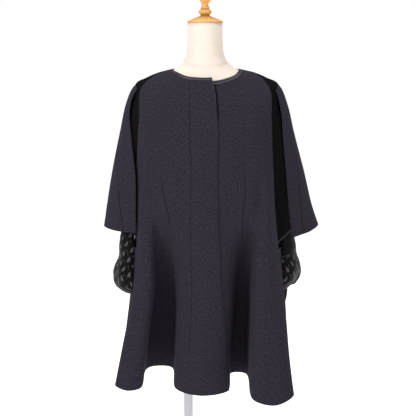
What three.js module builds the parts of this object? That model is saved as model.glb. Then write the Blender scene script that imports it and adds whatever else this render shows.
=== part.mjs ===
// Collarless wool cape coat on a limbless dress form
// Millimetres; +X to the viewer's right, -Y to the front, +Z up; the origin is under the middle of the base
import * as THREE from "three";

// Thickness of each cloth and the gaps between pieces
const WOOL = 2.6;
const TRIM = 1.2;
const LINING = 1.2;
const LEATHER = 3.4;
const SEAM_GAP = 0.3;
const LIE_GAP = 0.35;

// Height of the hem and the rows that divide the coat, counted in rows of SECTIONS
const HEM_HEIGHT = 497;
const BINDING_ROW = 0.26;
const BINDING_ROUND = 0.06;
const BINDING_GAP = 0.008;
const SHOULDER_ROW = 3;
const HEM_ROW = 12;
const NECK_DROP = 0.32;
const NECK_DROP_FADE = { row: 3, place: [3, 6] };
const UNDERARM_ROW = 8;
const BACK_UNDERARM_ROW = 7.5;
const BACK_UNDERARM_PLACE = 8.33;

// Overlap of the front edges: how far the under front reaches and how the over front rises on to it
const OVERLAP = 52;
const UNDER_REACH = 48;
const BINDING_REACH = 46;
const OVERLAP_LIFT = LEATHER + LIE_GAP + 0.1;
const LIFT_RAMP = 45;

// Plan of the coat without its folds, from the neckline to the hem
// mid and half give its middle and half width, front and back its depths, square how square its corners are
// zf, zs and zb are its heights at the front, the sides and the back
const SECTIONS = [
  { name: "neckline", mid: 52, half: 93, front: 86, back: 62, square: 2.0, zf: 1353, zs: 1374, zb: 1372 },
  { name: "collarbone", mid: 54, half: 132, front: 104, back: 84, square: 2.1, zf: 1318, zs: 1365, zb: 1345 },
  { name: "shoulder", mid: 54, half: 168, front: 119, back: 101, square: 2.3, zf: 1272, zs: 1350, zb: 1300 },
  { name: "shoulder_point", mid: 55, half: 199, front: 131, back: 113, square: 2.5, zf: 1223, zs: 1331, zb: 1246 },
  { name: "arm_top", mid: 54, half: 209, front: 138, back: 119, square: 2.5, zf: 1176, zs: 1272, zb: 1192 },
  { name: "chest", mid: 53, half: 208, front: 142, back: 122, square: 2.4, zf: 1128, zs: 1190, zb: 1134 },
  { name: "under_chest", mid: 53, half: 209, front: 146, back: 128, square: 2.4, zf: 1058, zs: 1088, zb: 1060 },
  { name: "waist", mid: 53, half: 212, front: 150, back: 136, square: 2.4, zf: 972, zs: 979, zb: 972 },
  { name: "underarm", mid: 54, half: 215, front: 156, back: 146, square: 2.4, zf: 884, zs: 884, zb: 884 },
  { name: "hip", mid: 56, half: 220, front: 164, back: 158, square: 2.3, zf: 792, zs: 792, zb: 792 },
  { name: "thigh", mid: 54, half: 229, front: 173, back: 172, square: 2.3, zf: 694, zs: 694, zb: 694 },
  { name: "knee", mid: 49, half: 239, front: 182, back: 186, square: 2.3, zf: 596, zs: 596, zb: 596 },
  { name: "hem", mid: 46, half: 250, front: 190, back: 198, square: 2.3, zf: 497, zs: 497, zb: 497 },
];

// Rows between which a fold line turns from its angle on the yoke to its angle on the body
const EARLY = [0, 4];
const LATE = [3, 5.5];

// Fold lines round the coat, from the middle of the front to the viewer's right and back round to it
// yoke and body are the angles of the line from the front
// x, y and drop place the line at the hem; start is the height where the fold begins
// rise is how fast the fold grows below its start: 1 is even, more is fast at first
const FOLDS = [
  { name: "front_middle", yoke: 0, body: 0, turn: EARLY, x: 36, y: -203, drop: 0, start: 1130, rise: 1 },
  { name: "front_edge", yoke: 22, body: 16, turn: EARLY, x: 112, y: -166, drop: 0, start: 1060, rise: 1.2 },
  { name: "trough_left", yoke: 37, body: 25, turn: EARLY, x: 126, y: -52, drop: 10, start: 970, rise: 1.4 },
  { name: "trough_left_outer", yoke: 47, body: 31, turn: EARLY, x: 163, y: -54, drop: 10, start: 970, rise: 1.4 },
  { name: "lobe_left_inner", yoke: 58, body: 39, turn: EARLY, x: 183, y: -250, drop: 3, start: 1010, rise: 1.4 },
  { name: "lobe_left", yoke: 72, body: 50, turn: EARLY, x: 236, y: -270, drop: -2, start: 1120, rise: 1 },
  { name: "seam_left", yoke: 86, body: 63, turn: EARLY, x: 290, y: -230, drop: 2, start: 1000, rise: 0.9 },
  { name: "side_trough_left", yoke: 87, body: 83, turn: EARLY, x: 262, y: -88, drop: 6, start: 900, rise: 1.2 },
  { name: "side_left", yoke: 88, body: 99, turn: LATE, x: 300, y: 18, drop: 0, start: 900, rise: 1 },
  { name: "armhole_left", yoke: 89, body: 116, turn: LATE, x: 240, y: 96, drop: 4, start: 900, rise: 1 },
  { name: "back_lobe_left", yoke: 102, body: 134, turn: EARLY, x: 214, y: 214, drop: -4, start: 1080, rise: 1 },
  { name: "back_trough_left", yoke: 122, body: 149, turn: EARLY, x: 140, y: 122, drop: 8, start: 1000, rise: 1.3 },
  { name: "back_inner_left", yoke: 150, body: 165, turn: EARLY, x: 98, y: 224, drop: 0, start: 1040, rise: 1.2 },
  { name: "back_middle", yoke: 180, body: 180, turn: EARLY, x: 38, y: 246, drop: -2, start: 1080, rise: 1 },
  { name: "back_inner_right", yoke: 210, body: 196, turn: EARLY, x: -24, y: 216, drop: 0, start: 1010, rise: 1.2 },
  { name: "back_trough_right", yoke: 238, body: 211, turn: EARLY, x: -52, y: 108, drop: 8, start: 980, rise: 1.3 },
  { name: "back_lobe_right", yoke: 258, body: 226, turn: EARLY, x: -126, y: 200, drop: -4, start: 1090, rise: 1 },
  { name: "armhole_right", yoke: 271, body: 244, turn: LATE, x: -160, y: 112, drop: 3, start: 900, rise: 1 },
  { name: "side_right", yoke: 272, body: 261, turn: LATE, x: -200, y: 30, drop: 0, start: 880, rise: 1 },
  { name: "side_trough_right", yoke: 273, body: 277, turn: EARLY, x: -162, y: -62, drop: 5, start: 900, rise: 1.2 },
  { name: "seam_right", yoke: 274, body: 297, turn: EARLY, x: -201, y: -155, drop: 5, start: 900, rise: 0.9 },
  { name: "lobe_right", yoke: 288, body: 309, turn: EARLY, x: -166, y: -182, drop: 6, start: 1120, rise: 1 },
  { name: "lobe_right_inner", yoke: 302, body: 319, turn: EARLY, x: -130, y: -168, drop: 7, start: 1010, rise: 1.4 },
  { name: "trough_right_outer", yoke: 313, body: 325, turn: EARLY, x: -114, y: -28, drop: 18, start: 980, rise: 1.4 },
  { name: "trough_right", yoke: 323, body: 332, turn: EARLY, x: -51, y: -24, drop: 18, start: 980, rise: 1.4 },
  { name: "front_corner", yoke: 339, body: 341, turn: EARLY, x: -30, y: -158, drop: 1, start: 1060, rise: 1.2 },
];

// Places round the coat, counted in lines of FOLDS; the right side of the coat has negative ones
const SEAM_PLACE = 6;
const BACK_SEAM_PLACE = 9;
const ROUND = FOLDS.length;

// Front edge of the over front, as its place in each row of the coat
const EDGE = [
  { row: 0, place: 0.44 },
  { row: 3, place: 0.38 },
  { row: 6, place: 0.41 },
  { row: 9, place: 0.57 },
  { row: 12, place: 1.06 },
];

// Outer edge of each front, which is the side seam below the underarm
const FRONT_SIDE_LEFT = [
  { row: 0, place: 6 },
  { row: 2, place: 5.8 },
  { row: 3, place: 5.45 },
  { row: 4, place: 5.36 },
  { row: 5, place: 5.63 },
  { row: 6, place: 5.82 },
  { row: 7, place: 5.95 },
  { row: 8, place: 6 },
];
const FRONT_SIDE_RIGHT = [
  { row: 0, place: 6 },
  { row: 3, place: 5.86 },
  { row: 4, place: 5.64 },
  { row: 5, place: 5.98 },
  { row: 6, place: 6.15 },
  { row: 7, place: 6.12 },
  { row: 8, place: 6 },
];

// Cape sleeves: place of the front edge, lift of that edge and of the outer bulge above the coat's own plan
const SLEEVE_LEFT = [
  { row: 3, edge: 6.2, edgeLift: 0, bulge: 0, drop: 0 },
  { row: 4, edge: 6.35, edgeLift: 8, bulge: 14, drop: 0 },
  { row: 5, edge: 6.4, edgeLift: 17, bulge: 33, drop: 2 },
  { row: 6, edge: 6.5, edgeLift: 25, bulge: 57, drop: 6 },
  { row: 7, edge: 6.6, edgeLift: 31, bulge: 80, drop: 16 },
  { row: 7.49, edge: 6.62, edgeLift: 35.5, bulge: 94, drop: 27 },
];
const SLEEVE_RIGHT = [
  { row: 3, edge: 6.4, edgeLift: 0, bulge: 0, drop: 0 },
  { row: 4, edge: 6.75, edgeLift: 8, bulge: 14, drop: 0 },
  { row: 5, edge: 6.4, edgeLift: 10, bulge: 32, drop: 0 },
  { row: 6, edge: 5.8, edgeLift: 10, bulge: 51, drop: 0 },
  { row: 7, edge: 5.65, edgeLift: 9, bulge: 67, drop: 1 },
  { row: 7.49, edge: 5.62, edgeLift: 8, bulge: 74, drop: 3 },
];
const SLEEVE_FOLD_POWER = 1.35;

// Black inset: it lies under the shoulder edges, then spans the gap from the front to the sleeve
// far is how far round it reaches at least; its foot slopes from the front to the sleeve
const INSET_LAP = 7;
const INSET_DEPTH = WOOL + 0.9;
const INSET_RISE = 4;
const INSET_CLEAR = 2.4;
const INSET_FAR = [
  { row: 0, far: 9.02 },
  { row: 3, far: 9.02 },
  { row: 3.5, far: 8.2 },
  { row: 4, far: 6.9 },
  { row: 5, far: 6.5 },
];
const INSET_OVER_FRONT = 0.35;
const INSET_FOOT_LEFT = [7.93, 7.55];
const INSET_FOOT_RIGHT = [7.9, 7.35];

// Inner sleeves: outer lift of the tube and the places of its front and back fold in each row
const LINING_LEFT = [
  { row: 6.8, front: 6.5, back: 8.3, lift: 9 },
  { row: 7.6, front: 6.46, back: 8.4, lift: 32 },
  { row: 8.3, front: 6.4, back: 8.4, lift: 44 },
  { row: 8.9, front: 6.36, back: 8.3, lift: 51 },
  { row: 9.15, front: 6.46, back: 8.15, lift: 41 },
  { row: 9.32, front: 6.64, back: 7.95, lift: 25 },
];
const LINING_RIGHT = [
  { row: 6.8, front: 6.5, back: 8.3, lift: 8 },
  { row: 7.6, front: 6.42, back: 8.4, lift: 28 },
  { row: 8.4, front: 6.22, back: 8.4, lift: 42 },
  { row: 9.1, front: 6.2, back: 8.3, lift: 58 },
  { row: 9.32, front: 6.3, back: 8.15, lift: 54 },
  { row: 9.48, front: 6.5, back: 7.95, lift: 36 },
];
const LINING_CLEAR = { left: 1.8, right: 2.5 };
const LINING_SEAT = -2.1;
const LINING_ARCH = 0.8;

// Dress form: its own plan below the shoulders, where it stands clear of the cloth
const FORM_CLEAR = { side: 2, face: 5.5, top: 5.3 };
const FORM_TIP = [
  { name: "neckline", half: 0, back: 0 },
  { name: "collarbone", half: 0, back: 2 },
  { name: "shoulder", half: 2, back: 10 },
  { name: "shoulder_point", half: 9, back: 25 },
];
const FORM_BODY = [
  { name: "arm_plate_top", mid: 52, half: 170, front: 104, back: 84, square: 2.4, zf: 1180, zs: 1288, zb: 1190 },
  { name: "arm_plate", mid: 51, half: 158, front: 116, back: 94, square: 2.4, zf: 1130, zs: 1230, zb: 1140 },
  { name: "bust", mid: 50, half: 148, front: 122, back: 94, square: 2.3, zf: 1090, zs: 1150, zb: 1090 },
  { name: "under_bust", mid: 48, half: 132, front: 102, back: 86, square: 2.2, zf: 1030, zs: 1045, zb: 1030 },
  { name: "waist", mid: 46, half: 120, front: 84, back: 78, square: 2.1, zf: 970, zs: 970, zb: 970 },
  { name: "high_hip", mid: 43, half: 136, front: 84, back: 90, square: 2.1, zf: 890, zs: 890, zb: 890 },
  { name: "hip", mid: 42, half: 144, front: 80, back: 92, square: 2.1, zf: 840, zs: 840, zb: 840 },
  { name: "foot", mid: 42, half: 138, front: 76, back: 88, square: 2.1, zf: 822, zs: 822, zb: 822 },
];
const FORM_NECK = [
  { name: "neck_top", mid: 50, half: 48, front: 52, back: 46, square: 2, zf: 1500, zs: 1500, zb: 1500 },
  { name: "neck", mid: 50, half: 48, front: 52, back: 46, square: 2, zf: 1440, zs: 1440, zb: 1440 },
  { name: "neck_flare", mid: 50.5, half: 52, front: 56, back: 48, square: 2, zf: 1404, zs: 1408, zb: 1408 },
  { name: "neck_base", mid: 51, half: 63, front: 66, back: 52, square: 2, zf: 1376, zs: 1389, zb: 1390 },
];
const FORM_SIDES = 32;

// Wooden cap and finial on the neck, radius by height
const CAP = [
  { name: "rim_foot", radius: 49.4, height: 1500.3 },
  { name: "rim_top", radius: 49.4, height: 1503.5 },
  { name: "cone_foot", radius: 46, height: 1505.5 },
  { name: "cone_top", radius: 14.5, height: 1518 },
  { name: "groove", radius: 12, height: 1520.5 },
  { name: "bulge_low", radius: 16.5, height: 1524.5 },
  { name: "bulge", radius: 18, height: 1529 },
  { name: "bulge_high", radius: 15.5, height: 1533.5 },
  { name: "neck_groove", radius: 11.4, height: 1536.5 },
  { name: "ring", radius: 13.8, height: 1539.2 },
  { name: "waist_low", radius: 10.4, height: 1543 },
  { name: "waist", radius: 9.2, height: 1550 },
  { name: "knob_low", radius: 15.5, height: 1559 },
  { name: "knob", radius: 18.5, height: 1569 },
  { name: "knob_high", radius: 14, height: 1580 },
  { name: "knob_top", radius: 5, height: 1585.5 },
];
const FINIAL_TOP = 1587.5;
const CAP_MIDDLE = new THREE.Vector3(50, -3, 0);
const TURNED_SIDES = 32;

// Pole and base
const POLE_RADIUS = 13.5;
const POLE_SIDES = 24;
const BASE_RADIUS = 170;
const BASE_EDGE = 7;
const BASE_TOP = 13;
const BASE_SIDES = 48;
const SOCKET_RADIUS = 22;
const SOCKET_FLARE = 5;
const SOCKET_TOP = 48;
const POLE_FOOT = BASE_TOP + SEAM_GAP;
const FORM_FOOT = FORM_BODY.at(-1).zs;

// Samples along the meshes; the shares split the width of a piece
const COLUMNS_PER_FOLD = 3;
const ROW_STEP = 0.5;
const LINING_ROW_STEP = 0.25;
const LINING_OUTER_STEP = 0.125;
const LINING_INNER_STEP = 0.2;
const OVER_SHARES = [0.22, 0.42, 0.58, 0.72, 0.86, 1];
const UNDER_SHARES = [0.35, 0.7, 1];
const SIDE_SHARES = [0, 0.33, 0.67];
const SLEEVE_SHARES = [0, 0.12, 0.25, 0.38, 0.5, 0.62, 0.74, 0.86, 1];
const INSET_SHARES = [0, 0.2, 0.4, 0.6, 0.8, 1];
const INSET_ROW_COUNT = 18;
const BINDING_STEP = 0.5;
const BINDING_END_STEP = 0.3;
const SLOPE_STEP = 0.05;

const MATERIALS = {
  wool: new THREE.MeshStandardMaterial({ color: 0x33313c, roughness: 0.95, metalness: 0 }),
  black: new THREE.MeshStandardMaterial({ color: 0x101011, roughness: 0.9, metalness: 0 }),
  leather: new THREE.MeshStandardMaterial({ color: 0x232326, roughness: 0.45, metalness: 0 }),
  cream: new THREE.MeshStandardMaterial({ color: 0xfaf2e8, roughness: 0.9, metalness: 0 }),
  wood: new THREE.MeshStandardMaterial({ color: 0xe1aa5f, roughness: 0.5, metalness: 0 }),
  painted: new THREE.MeshStandardMaterial({ color: 0xcdcdd4, roughness: 0.4, metalness: 0.1 }),
};

const { clamp, degToRad, lerp, smoothstep } = THREE.MathUtils;
const group = new THREE.Group();

// A column of a table at a row between two of its lines, along a smooth curve through them
function read(table, column, row) {
  const line = clamp(Math.floor(row), 0, table.length - 2);
  const value = (k) => table[clamp(k, 0, table.length - 1)][column];
  const [a, b, c, d] = [line - 1, line, line + 1, line + 2].map(value);
  const t = row - line;
  const bend = (2 * a - 5 * b + 4 * c - d) * t * t + (3 * b - a - 3 * c + d) * t * t * t;
  return b + 0.5 * ((c - a) * t + bend);
}

// A column of a table whose lines name their own row, with straight steps between them
function readAt(table, column, row) {
  const next = clamp(table.findIndex((line) => line.row >= row), 1, table.length - 1);
  const low = table[next - 1];
  const high = table.at(next);
  if (row >= table.at(-1).row) return table.at(-1)[column];
  return lerp(low[column], high[column], clamp((row - low.row) / (high.row - low.row), 0, 1));
}

// A point of a rounded plan; angle 0 is the front and 90 the viewer's right
function planPoint(line, angle) {
  const turn = degToRad(angle);
  const power = 2 / line.square;
  const across = Math.sign(Math.sin(turn)) * Math.abs(Math.sin(turn)) ** power;
  const along = Math.sign(Math.cos(turn)) * Math.abs(Math.cos(turn)) ** power;
  const face = along > 0 ? { depth: line.front, z: line.zf } : { depth: line.back, z: line.zb };
  const z = lerp(line.zs, face.z, Math.cos(turn) ** 2);
  return new THREE.Vector3(line.mid + line.half * across, -face.depth * along, z);
}

// The plan of the coat at a row between two sections
function sectionAt(row) {
  const columns = ["mid", "half", "front", "back", "square", "zf", "zs", "zb"];
  return Object.fromEntries(columns.map((column) => [column, read(SECTIONS, column, row)]));
}

// A fold line at a row: its place on the plain plan, moved towards its place at the hem
function foldPoint(fold, row) {
  const turn = lerp(fold.yoke, fold.body, smoothstep(row, ...fold.turn));
  const point = planPoint(sectionAt(row), turn);
  const below = clamp((fold.start - point.z) / (fold.start - HEM_HEIGHT), 0, 1);
  const grown = 1 - (1 - below) ** fold.rise;
  const rest = planPoint(SECTIONS[HEM_ROW], fold.body);
  const hem = new THREE.Vector3(fold.x, fold.y, HEM_HEIGHT + fold.drop);
  return point.addScaledVector(hem.sub(rest), grown);
}

// The coat's outer face at a place round it and a row down it
const rings = new Map();
function surface(place, row) {
  const key = row.toFixed(4);
  if (!rings.has(key)) {
    const points = FOLDS.map((fold) => foldPoint(fold, row));
    rings.set(key, new THREE.CatmullRomCurve3(points, true, "centripetal"));
  }
  const along = place / ROUND;
  return rings.get(key).getPoint(along - Math.floor(along));
}

// The direction out of the coat's face
function outward(place, row) {
  const high = Math.max(row - SLOPE_STEP, 0);
  const low = Math.min(row + SLOPE_STEP, HEM_ROW);
  const across = surface(place + SLOPE_STEP, row).sub(surface(place - SLOPE_STEP, row));
  const down = surface(place, low).sub(surface(place, high));
  return down.cross(across).normalize();
}

// A point lifted off the coat's face
function lifted(place, row, lift) {
  return surface(place, row).addScaledVector(outward(place, row), lift);
}

// A place moved round the coat by a distance
function moved(place, row, distance) {
  const span = surface(place + SLOPE_STEP, row).distanceTo(surface(place - SLOPE_STEP, row));
  return place + (distance * 2 * SLOPE_STEP) / span;
}

// A list of values from one to another, with steps no longer than asked
function steps(from, to, step) {
  const count = Math.max(1, Math.ceil((to - from) / step - 1e-6));
  return Array.from({ length: count + 1 }, (_, k) => lerp(from, to, k / count));
}

// A closed wall between an outer and an inner grid of points; holds(r, c) says which cells exist
function wallGeometry(outer, inner, { closed = false, holds = () => true } = {}) {
  const columns = outer[0].length;
  const points = [...outer.flat(), ...inner.flat()];
  const innerStart = outer.length * columns;
  const faces = [];
  for (let r = 0; r < outer.length - 1; r += 1) {
    for (let c = 0; c < (closed ? columns : columns - 1); c += 1) {
      if (!holds(r, c)) continue;
      const next = (c + 1) % columns;
      const [a, b] = [r * columns + c, r * columns + next];
      const [d, e] = [a + columns, b + columns];
      faces.push([a, d, b], [b, d, e]);
    }
  }
  const edges = new Set(faces.flatMap(([a, b, c]) => [`${a},${b}`, `${b},${c}`, `${c},${a}`]));
  const sides = [];
  for (const edge of edges) {
    const [a, b] = edge.split(",").map(Number);
    if (edges.has(`${b},${a}`)) continue;
    sides.push([b, a, a + innerStart], [b, a + innerStart, b + innerStart]);
  }
  const backs = faces.map(([a, b, c]) => [a + innerStart, c + innerStart, b + innerStart]);
  const geometry = new THREE.BufferGeometry().setFromPoints(points);
  geometry.setIndex([...faces, ...backs, ...sides].flat());
  return geometry.toNonIndexed();
}

function add(name, geometry, material) {
  geometry.computeVertexNormals();
  const mesh = new THREE.Mesh(geometry, material);
  mesh.name = name;
  group.add(mesh);
}

// The under front hangs lower round the neck: its rows start lower, and the drop fades out below
function droppedRow(place, row) {
  const across = 1 - smoothstep(place, ...NECK_DROP_FADE.place);
  return row + NECK_DROP * across * (1 - smoothstep(row, 0, NECK_DROP_FADE.row));
}

// A piece of cloth on the coat's face: places(row) lists the places across it
function clothPiece({ rows, places, lift = () => 0, fall = (place, row) => row, holds }) {
  const grid = (depth) =>
    rows.map((row) =>
      places(row).map((place) => lifted(place, fall(place, row), lift(place, row) - depth)),
    );
  return wallGeometry(grid(0), grid(WOOL), { holds });
}

const coatRows = [BINDING_ROW, ...steps(ROW_STEP, HEM_ROW, ROW_STEP)];

const edgePlace = (row) => readAt(EDGE, "place", row);

// How far the over front is lifted off the plain face, rising to the overlap
function overlapLift(place, row) {
  const distance = surface(place, row).distanceTo(surface(edgePlace(row), row));
  const rise = 1 - smoothstep(distance, OVERLAP, OVERLAP + LIFT_RAMP);
  return place > edgePlace(row) ? OVERLAP_LIFT : OVERLAP_LIFT * rise;
}

// Columns of the over front: evenly spread over the overlap, then by fold lines to the side seam
function overPlaces(row) {
  const seam = moved(-readAt(FRONT_SIDE_RIGHT, "place", row), row, SEAM_GAP);
  const lines = steps(-SEAM_PLACE + 1, -1, 1 / COLUMNS_PER_FOLD);
  const side = SIDE_SHARES.map((share) => lerp(seam, lines[0], share));
  const front = OVER_SHARES.map((share) => lerp(-1, edgePlace(row), share));
  return [...side, ...lines, ...front];
}

// Columns of the under front: from under the overlap to the side seam
function underPlaces(row) {
  const hidden = moved(edgePlace(row), row, -UNDER_REACH);
  const edge = edgePlace(row);
  const lines = steps(2, SEAM_PLACE - 1, 1 / COLUMNS_PER_FOLD);
  const front = UNDER_SHARES.map((share) => lerp(edge, 2 - 1 / COLUMNS_PER_FOLD, share));
  const seam = moved(readAt(FRONT_SIDE_LEFT, "place", row), row, -SEAM_GAP);
  const side = SIDE_SHARES.map((share) => lerp(seam, lines.at(-1), share)).reverse();
  return [hidden, lerp(hidden, edge, 0.5), edge, ...front, ...lines, ...side];
}

function addFronts() {
  const over = { rows: coatRows, places: overPlaces, lift: overlapLift };
  add("front_right", clothPiece(over), MATERIALS.wool);
  const under = { rows: coatRows, places: underPlaces, fall: droppedRow };
  add("front_left", clothPiece(under), MATERIALS.wool);
}

// The back runs between the side seams, and is cut away at both armholes above the underarm
function addBack() {
  const from = SEAM_PLACE;
  const to = ROUND - SEAM_PLACE;
  const places = steps(from, to, 1 / COLUMNS_PER_FOLD);
  const holds = (r, c) => {
    const middle = (places[c] + places[c + 1]) / 2;
    const fromFront = Math.min(middle, ROUND - middle);
    if (fromFront > BACK_SEAM_PLACE) return true;
    return coatRows[r] >= (fromFront > BACK_UNDERARM_PLACE ? BACK_UNDERARM_ROW : UNDERARM_ROW);
  };
  add("back", clothPiece({ rows: coatRows, places: () => places, holds }), MATERIALS.wool);
}

// Places on the right side are those of the left side counted the other way
const onSide = (side, place) => (side > 0 ? place : -place);

// A wall between two grids, turned round where the places run backwards
function sidedWall(side, outer, inner, options) {
  const turned = (grid) => (side > 0 ? grid : grid.map((line) => [...line].reverse()));
  return wallGeometry(turned(outer), turned(inner), options);
}

// How far a cape sleeve stands off the coat's face at a share of the way round it
function sleeveLift(table, row, share) {
  const bulge = readAt(table, "bulge", row) * (1 - Math.abs(2 * share - 1) ** SLEEVE_FOLD_POWER);
  return readAt(table, "edgeLift", row) * (1 - share) + bulge;
}

// A cape sleeve: from its free front edge round the arm to the back armhole seam
function addSleeve(name, side, table) {
  const last = table.at(-1).row;
  const rows = [...coatRows.filter((row) => row >= SHOULDER_ROW && row < last), last];
  const grid = (depth) =>
    rows.map((row) => {
      const seam = side * moved(side * BACK_SEAM_PLACE, row, -side * SEAM_GAP);
      return SLEEVE_SHARES.map((share) => {
        const place = onSide(side, lerp(readAt(table, "edge", row), seam, share));
        const point = lifted(place, row, sleeveLift(table, row, share) - depth);
        point.z -= readAt(table, "drop", row) * (1 - share) ** 2;
        return point;
      });
    });
  add(name, sidedWall(side, grid(0), grid(WOOL)), MATERIALS.wool);
}

// The black inset: flat under the shoulder edges, then out from the front's edge to the sleeve's
function addInset(name, side, frontSide, sleeve, foot) {
  const top = steps(BINDING_ROW, SHOULDER_ROW, ROW_STEP);
  const below = steps(0, 1, 1 / INSET_ROW_COUNT).slice(1);
  const rowAt = (line, share) => {
    if (line < top.length) return top[line];
    return lerp(SHOULDER_ROW, lerp(foot[0], foot[1], share), below[line - top.length]);
  };
  const lines = Array.from({ length: top.length + below.length }, (_, line) => line);
  const grid = (depth) =>
    lines.map((line) =>
      INSET_SHARES.map((share) => {
        const row = rowAt(line, share);
        const seam = readAt(frontSide, "place", row);
        const near = side * moved(side * seam, row, -side * INSET_LAP);
        const edge = readAt(sleeve, "edge", row);
        const free = Math.max(edge, seam + INSET_OVER_FRONT);
        const far = row < INSET_FAR.at(-1).row ? Math.max(readAt(INSET_FAR, "far", row), free) : free;
        const place = lerp(near, far, share);
        const start = side * moved(side * seam, row, side * INSET_RISE);
        const rise = clamp((place - start) / (far - start), 0, 1);
        const open = smoothstep(row, SHOULDER_ROW, SHOULDER_ROW + 2);
        const reach = sleeveLift(sleeve, row, (far - edge) / (BACK_SEAM_PLACE - edge)) * open;
        return lifted(onSide(side, place), row, (reach - INSET_CLEAR * open) * rise - INSET_DEPTH - depth);
      }),
    );
  add(name, sidedWall(side, grid(0), grid(TRIM)), MATERIALS.black);
}

// The inner sleeve: a flat tube on the coat's side, open above and below
function addInnerSleeve(name, side, table, clear) {
  const rows = steps(table[0].row, table.at(-1).row, LINING_ROW_STEP);
  const outerHalf = steps(0, 1, LINING_OUTER_STEP);
  const loop = [...outerHalf, ...steps(1, 2, LINING_INNER_STEP).slice(1, -1)];
  const grid = (depth) =>
    rows.map((row) => {
      const inward = onSide(side, 1) * depth;
      const base = row < BACK_UNDERARM_ROW - ROW_STEP / 2 ? LINING_SEAT : clear;
      return loop.map((turn) => {
        const share = (1 - Math.cos(Math.PI * turn)) / 2;
        const front = moved(onSide(side, readAt(table, "front", row)), row, inward);
        const back = moved(onSide(side, readAt(table, "back", row)), row, -inward);
        const place = lerp(front, back, share);
        const arch = Math.max(Math.sin(Math.PI * turn), 0) ** LINING_ARCH;
        const lift = base + depth + (readAt(table, "lift", row) - base - 2 * depth) * arch;
        return lifted(place, row, lift);
      });
    });
  add(name, sidedWall(side, grid(0), grid(LINING), { closed: true }), MATERIALS.black);
}

// The leather binding: one strip from the over front's edge round the neck to the under front's edge
function addBinding() {
  const rows = [0, BINDING_ROUND, BINDING_ROW - BINDING_ROUND, BINDING_ROW - BINDING_GAP];
  const proud = (LEATHER - WOOL) / 2;
  const start = moved(edgePlace(0), 0, -BINDING_REACH);
  const stop = ROUND + edgePlace(0);
  const overEnd = steps(ROUND - 1 + BINDING_END_STEP, stop, BINDING_END_STEP);
  const places = [start, ...steps(1, ROUND - 1, BINDING_STEP), ...overEnd];
  const grid = (depth) =>
    rows.map((row) =>
      places.map((place) => {
        const isOver = place > ROUND / 2;
        const over = isOver ? overlapLift(place - ROUND, row) : 0;
        return lifted(place, isOver ? row : droppedRow(place, row), over + proud - depth);
      }),
    );
  add("neck_binding", wallGeometry(grid(0), grid(LEATHER)), MATERIALS.leather);
}

// The dress form: neck, shoulders just under the cloth, and a plain body
function addForm() {
  const under = SECTIONS.slice(0, SHOULDER_ROW + 1).map((line, row) => ({
    ...line,
    half: line.half - FORM_CLEAR.side - FORM_TIP[row].half,
    front: line.front - FORM_CLEAR.face,
    back: line.back - FORM_CLEAR.face - FORM_TIP[row].back,
    zf: line.zf - FORM_CLEAR.top,
    zs: line.zs - FORM_CLEAR.top,
    zb: line.zb - FORM_CLEAR.top,
  }));
  const rings = [...FORM_NECK, ...under, ...FORM_BODY].map((line) =>
    Array.from({ length: FORM_SIDES }, (_, k) => planPoint(line, (k * 360) / FORM_SIDES)),
  );
  const points = rings.flat();
  const faces = [];
  for (let r = 0; r < rings.length - 1; r += 1) {
    for (let c = 0; c < FORM_SIDES; c += 1) {
      const next = (c + 1) % FORM_SIDES;
      const [a, b] = [r * FORM_SIDES + c, r * FORM_SIDES + next];
      const [d, e] = [a + FORM_SIDES, b + FORM_SIDES];
      faces.push([a, d, b], [b, d, e]);
    }
  }
  const top = points.push(new THREE.Vector3(FORM_NECK[0].mid, 0, FORM_NECK[0].zs)) - 1;
  const foot = points.push(new THREE.Vector3(FORM_BODY.at(-1).mid, 0, FORM_FOOT)) - 1;
  const last = (rings.length - 1) * FORM_SIDES;
  for (let c = 0; c < FORM_SIDES; c += 1) {
    const next = (c + 1) % FORM_SIDES;
    faces.push([top, c, next], [foot, last + next, last + c]);
  }
  const geometry = new THREE.BufferGeometry().setFromPoints(points);
  geometry.setIndex(faces.flat());
  add("form_torso", geometry.toNonIndexed(), MATERIALS.cream);
}

// A turned piece about the upright axis, from its profile of radius and height
function turned(profile, sides) {
  const points = profile.map(([radius, height]) => new THREE.Vector2(radius, height));
  return new THREE.LatheGeometry(points, sides).rotateX(Math.PI / 2);
}

function addStand() {
  const wood = CAP.map((line) => [line.radius, line.height]);
  const cap = turned([[0, CAP[0].height], ...wood, [0, FINIAL_TOP]], TURNED_SIDES);
  add("neck_cap", cap.translate(CAP_MIDDLE.x, CAP_MIDDLE.y, 0), MATERIALS.wood);
  const bore = POLE_RADIUS + SEAM_GAP;
  const base = [
    [0, 0],
    [BASE_RADIUS, 0],
    [BASE_RADIUS, BASE_EDGE],
    [SOCKET_RADIUS + SOCKET_FLARE, BASE_TOP],
    [SOCKET_RADIUS, BASE_TOP + SOCKET_FLARE],
    [SOCKET_RADIUS, SOCKET_TOP],
    [bore, SOCKET_TOP],
    [bore, BASE_TOP],
    [0, BASE_TOP],
  ];
  add("base", turned(base, BASE_SIDES), MATERIALS.painted);
  const poleTop = FORM_FOOT - SEAM_GAP;
  const pole = [
    [0, POLE_FOOT],
    [POLE_RADIUS, POLE_FOOT],
    [POLE_RADIUS, poleTop],
    [0, poleTop],
  ];
  add("pole", turned(pole, POLE_SIDES), MATERIALS.painted);
}

addForm();
addStand();
addFronts();
addBack();
addSleeve("sleeve_left", 1, SLEEVE_LEFT);
addSleeve("sleeve_right", -1, SLEEVE_RIGHT);
addInset("inset_left", 1, FRONT_SIDE_LEFT, SLEEVE_LEFT, INSET_FOOT_LEFT);
addInset("inset_right", -1, FRONT_SIDE_RIGHT, SLEEVE_RIGHT, INSET_FOOT_RIGHT);
addInnerSleeve("sleeve_lining_left", 1, LINING_LEFT, LINING_CLEAR.left);
addInnerSleeve("sleeve_lining_right", -1, LINING_RIGHT, LINING_CLEAR.right);
addBinding();

export default group;
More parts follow.
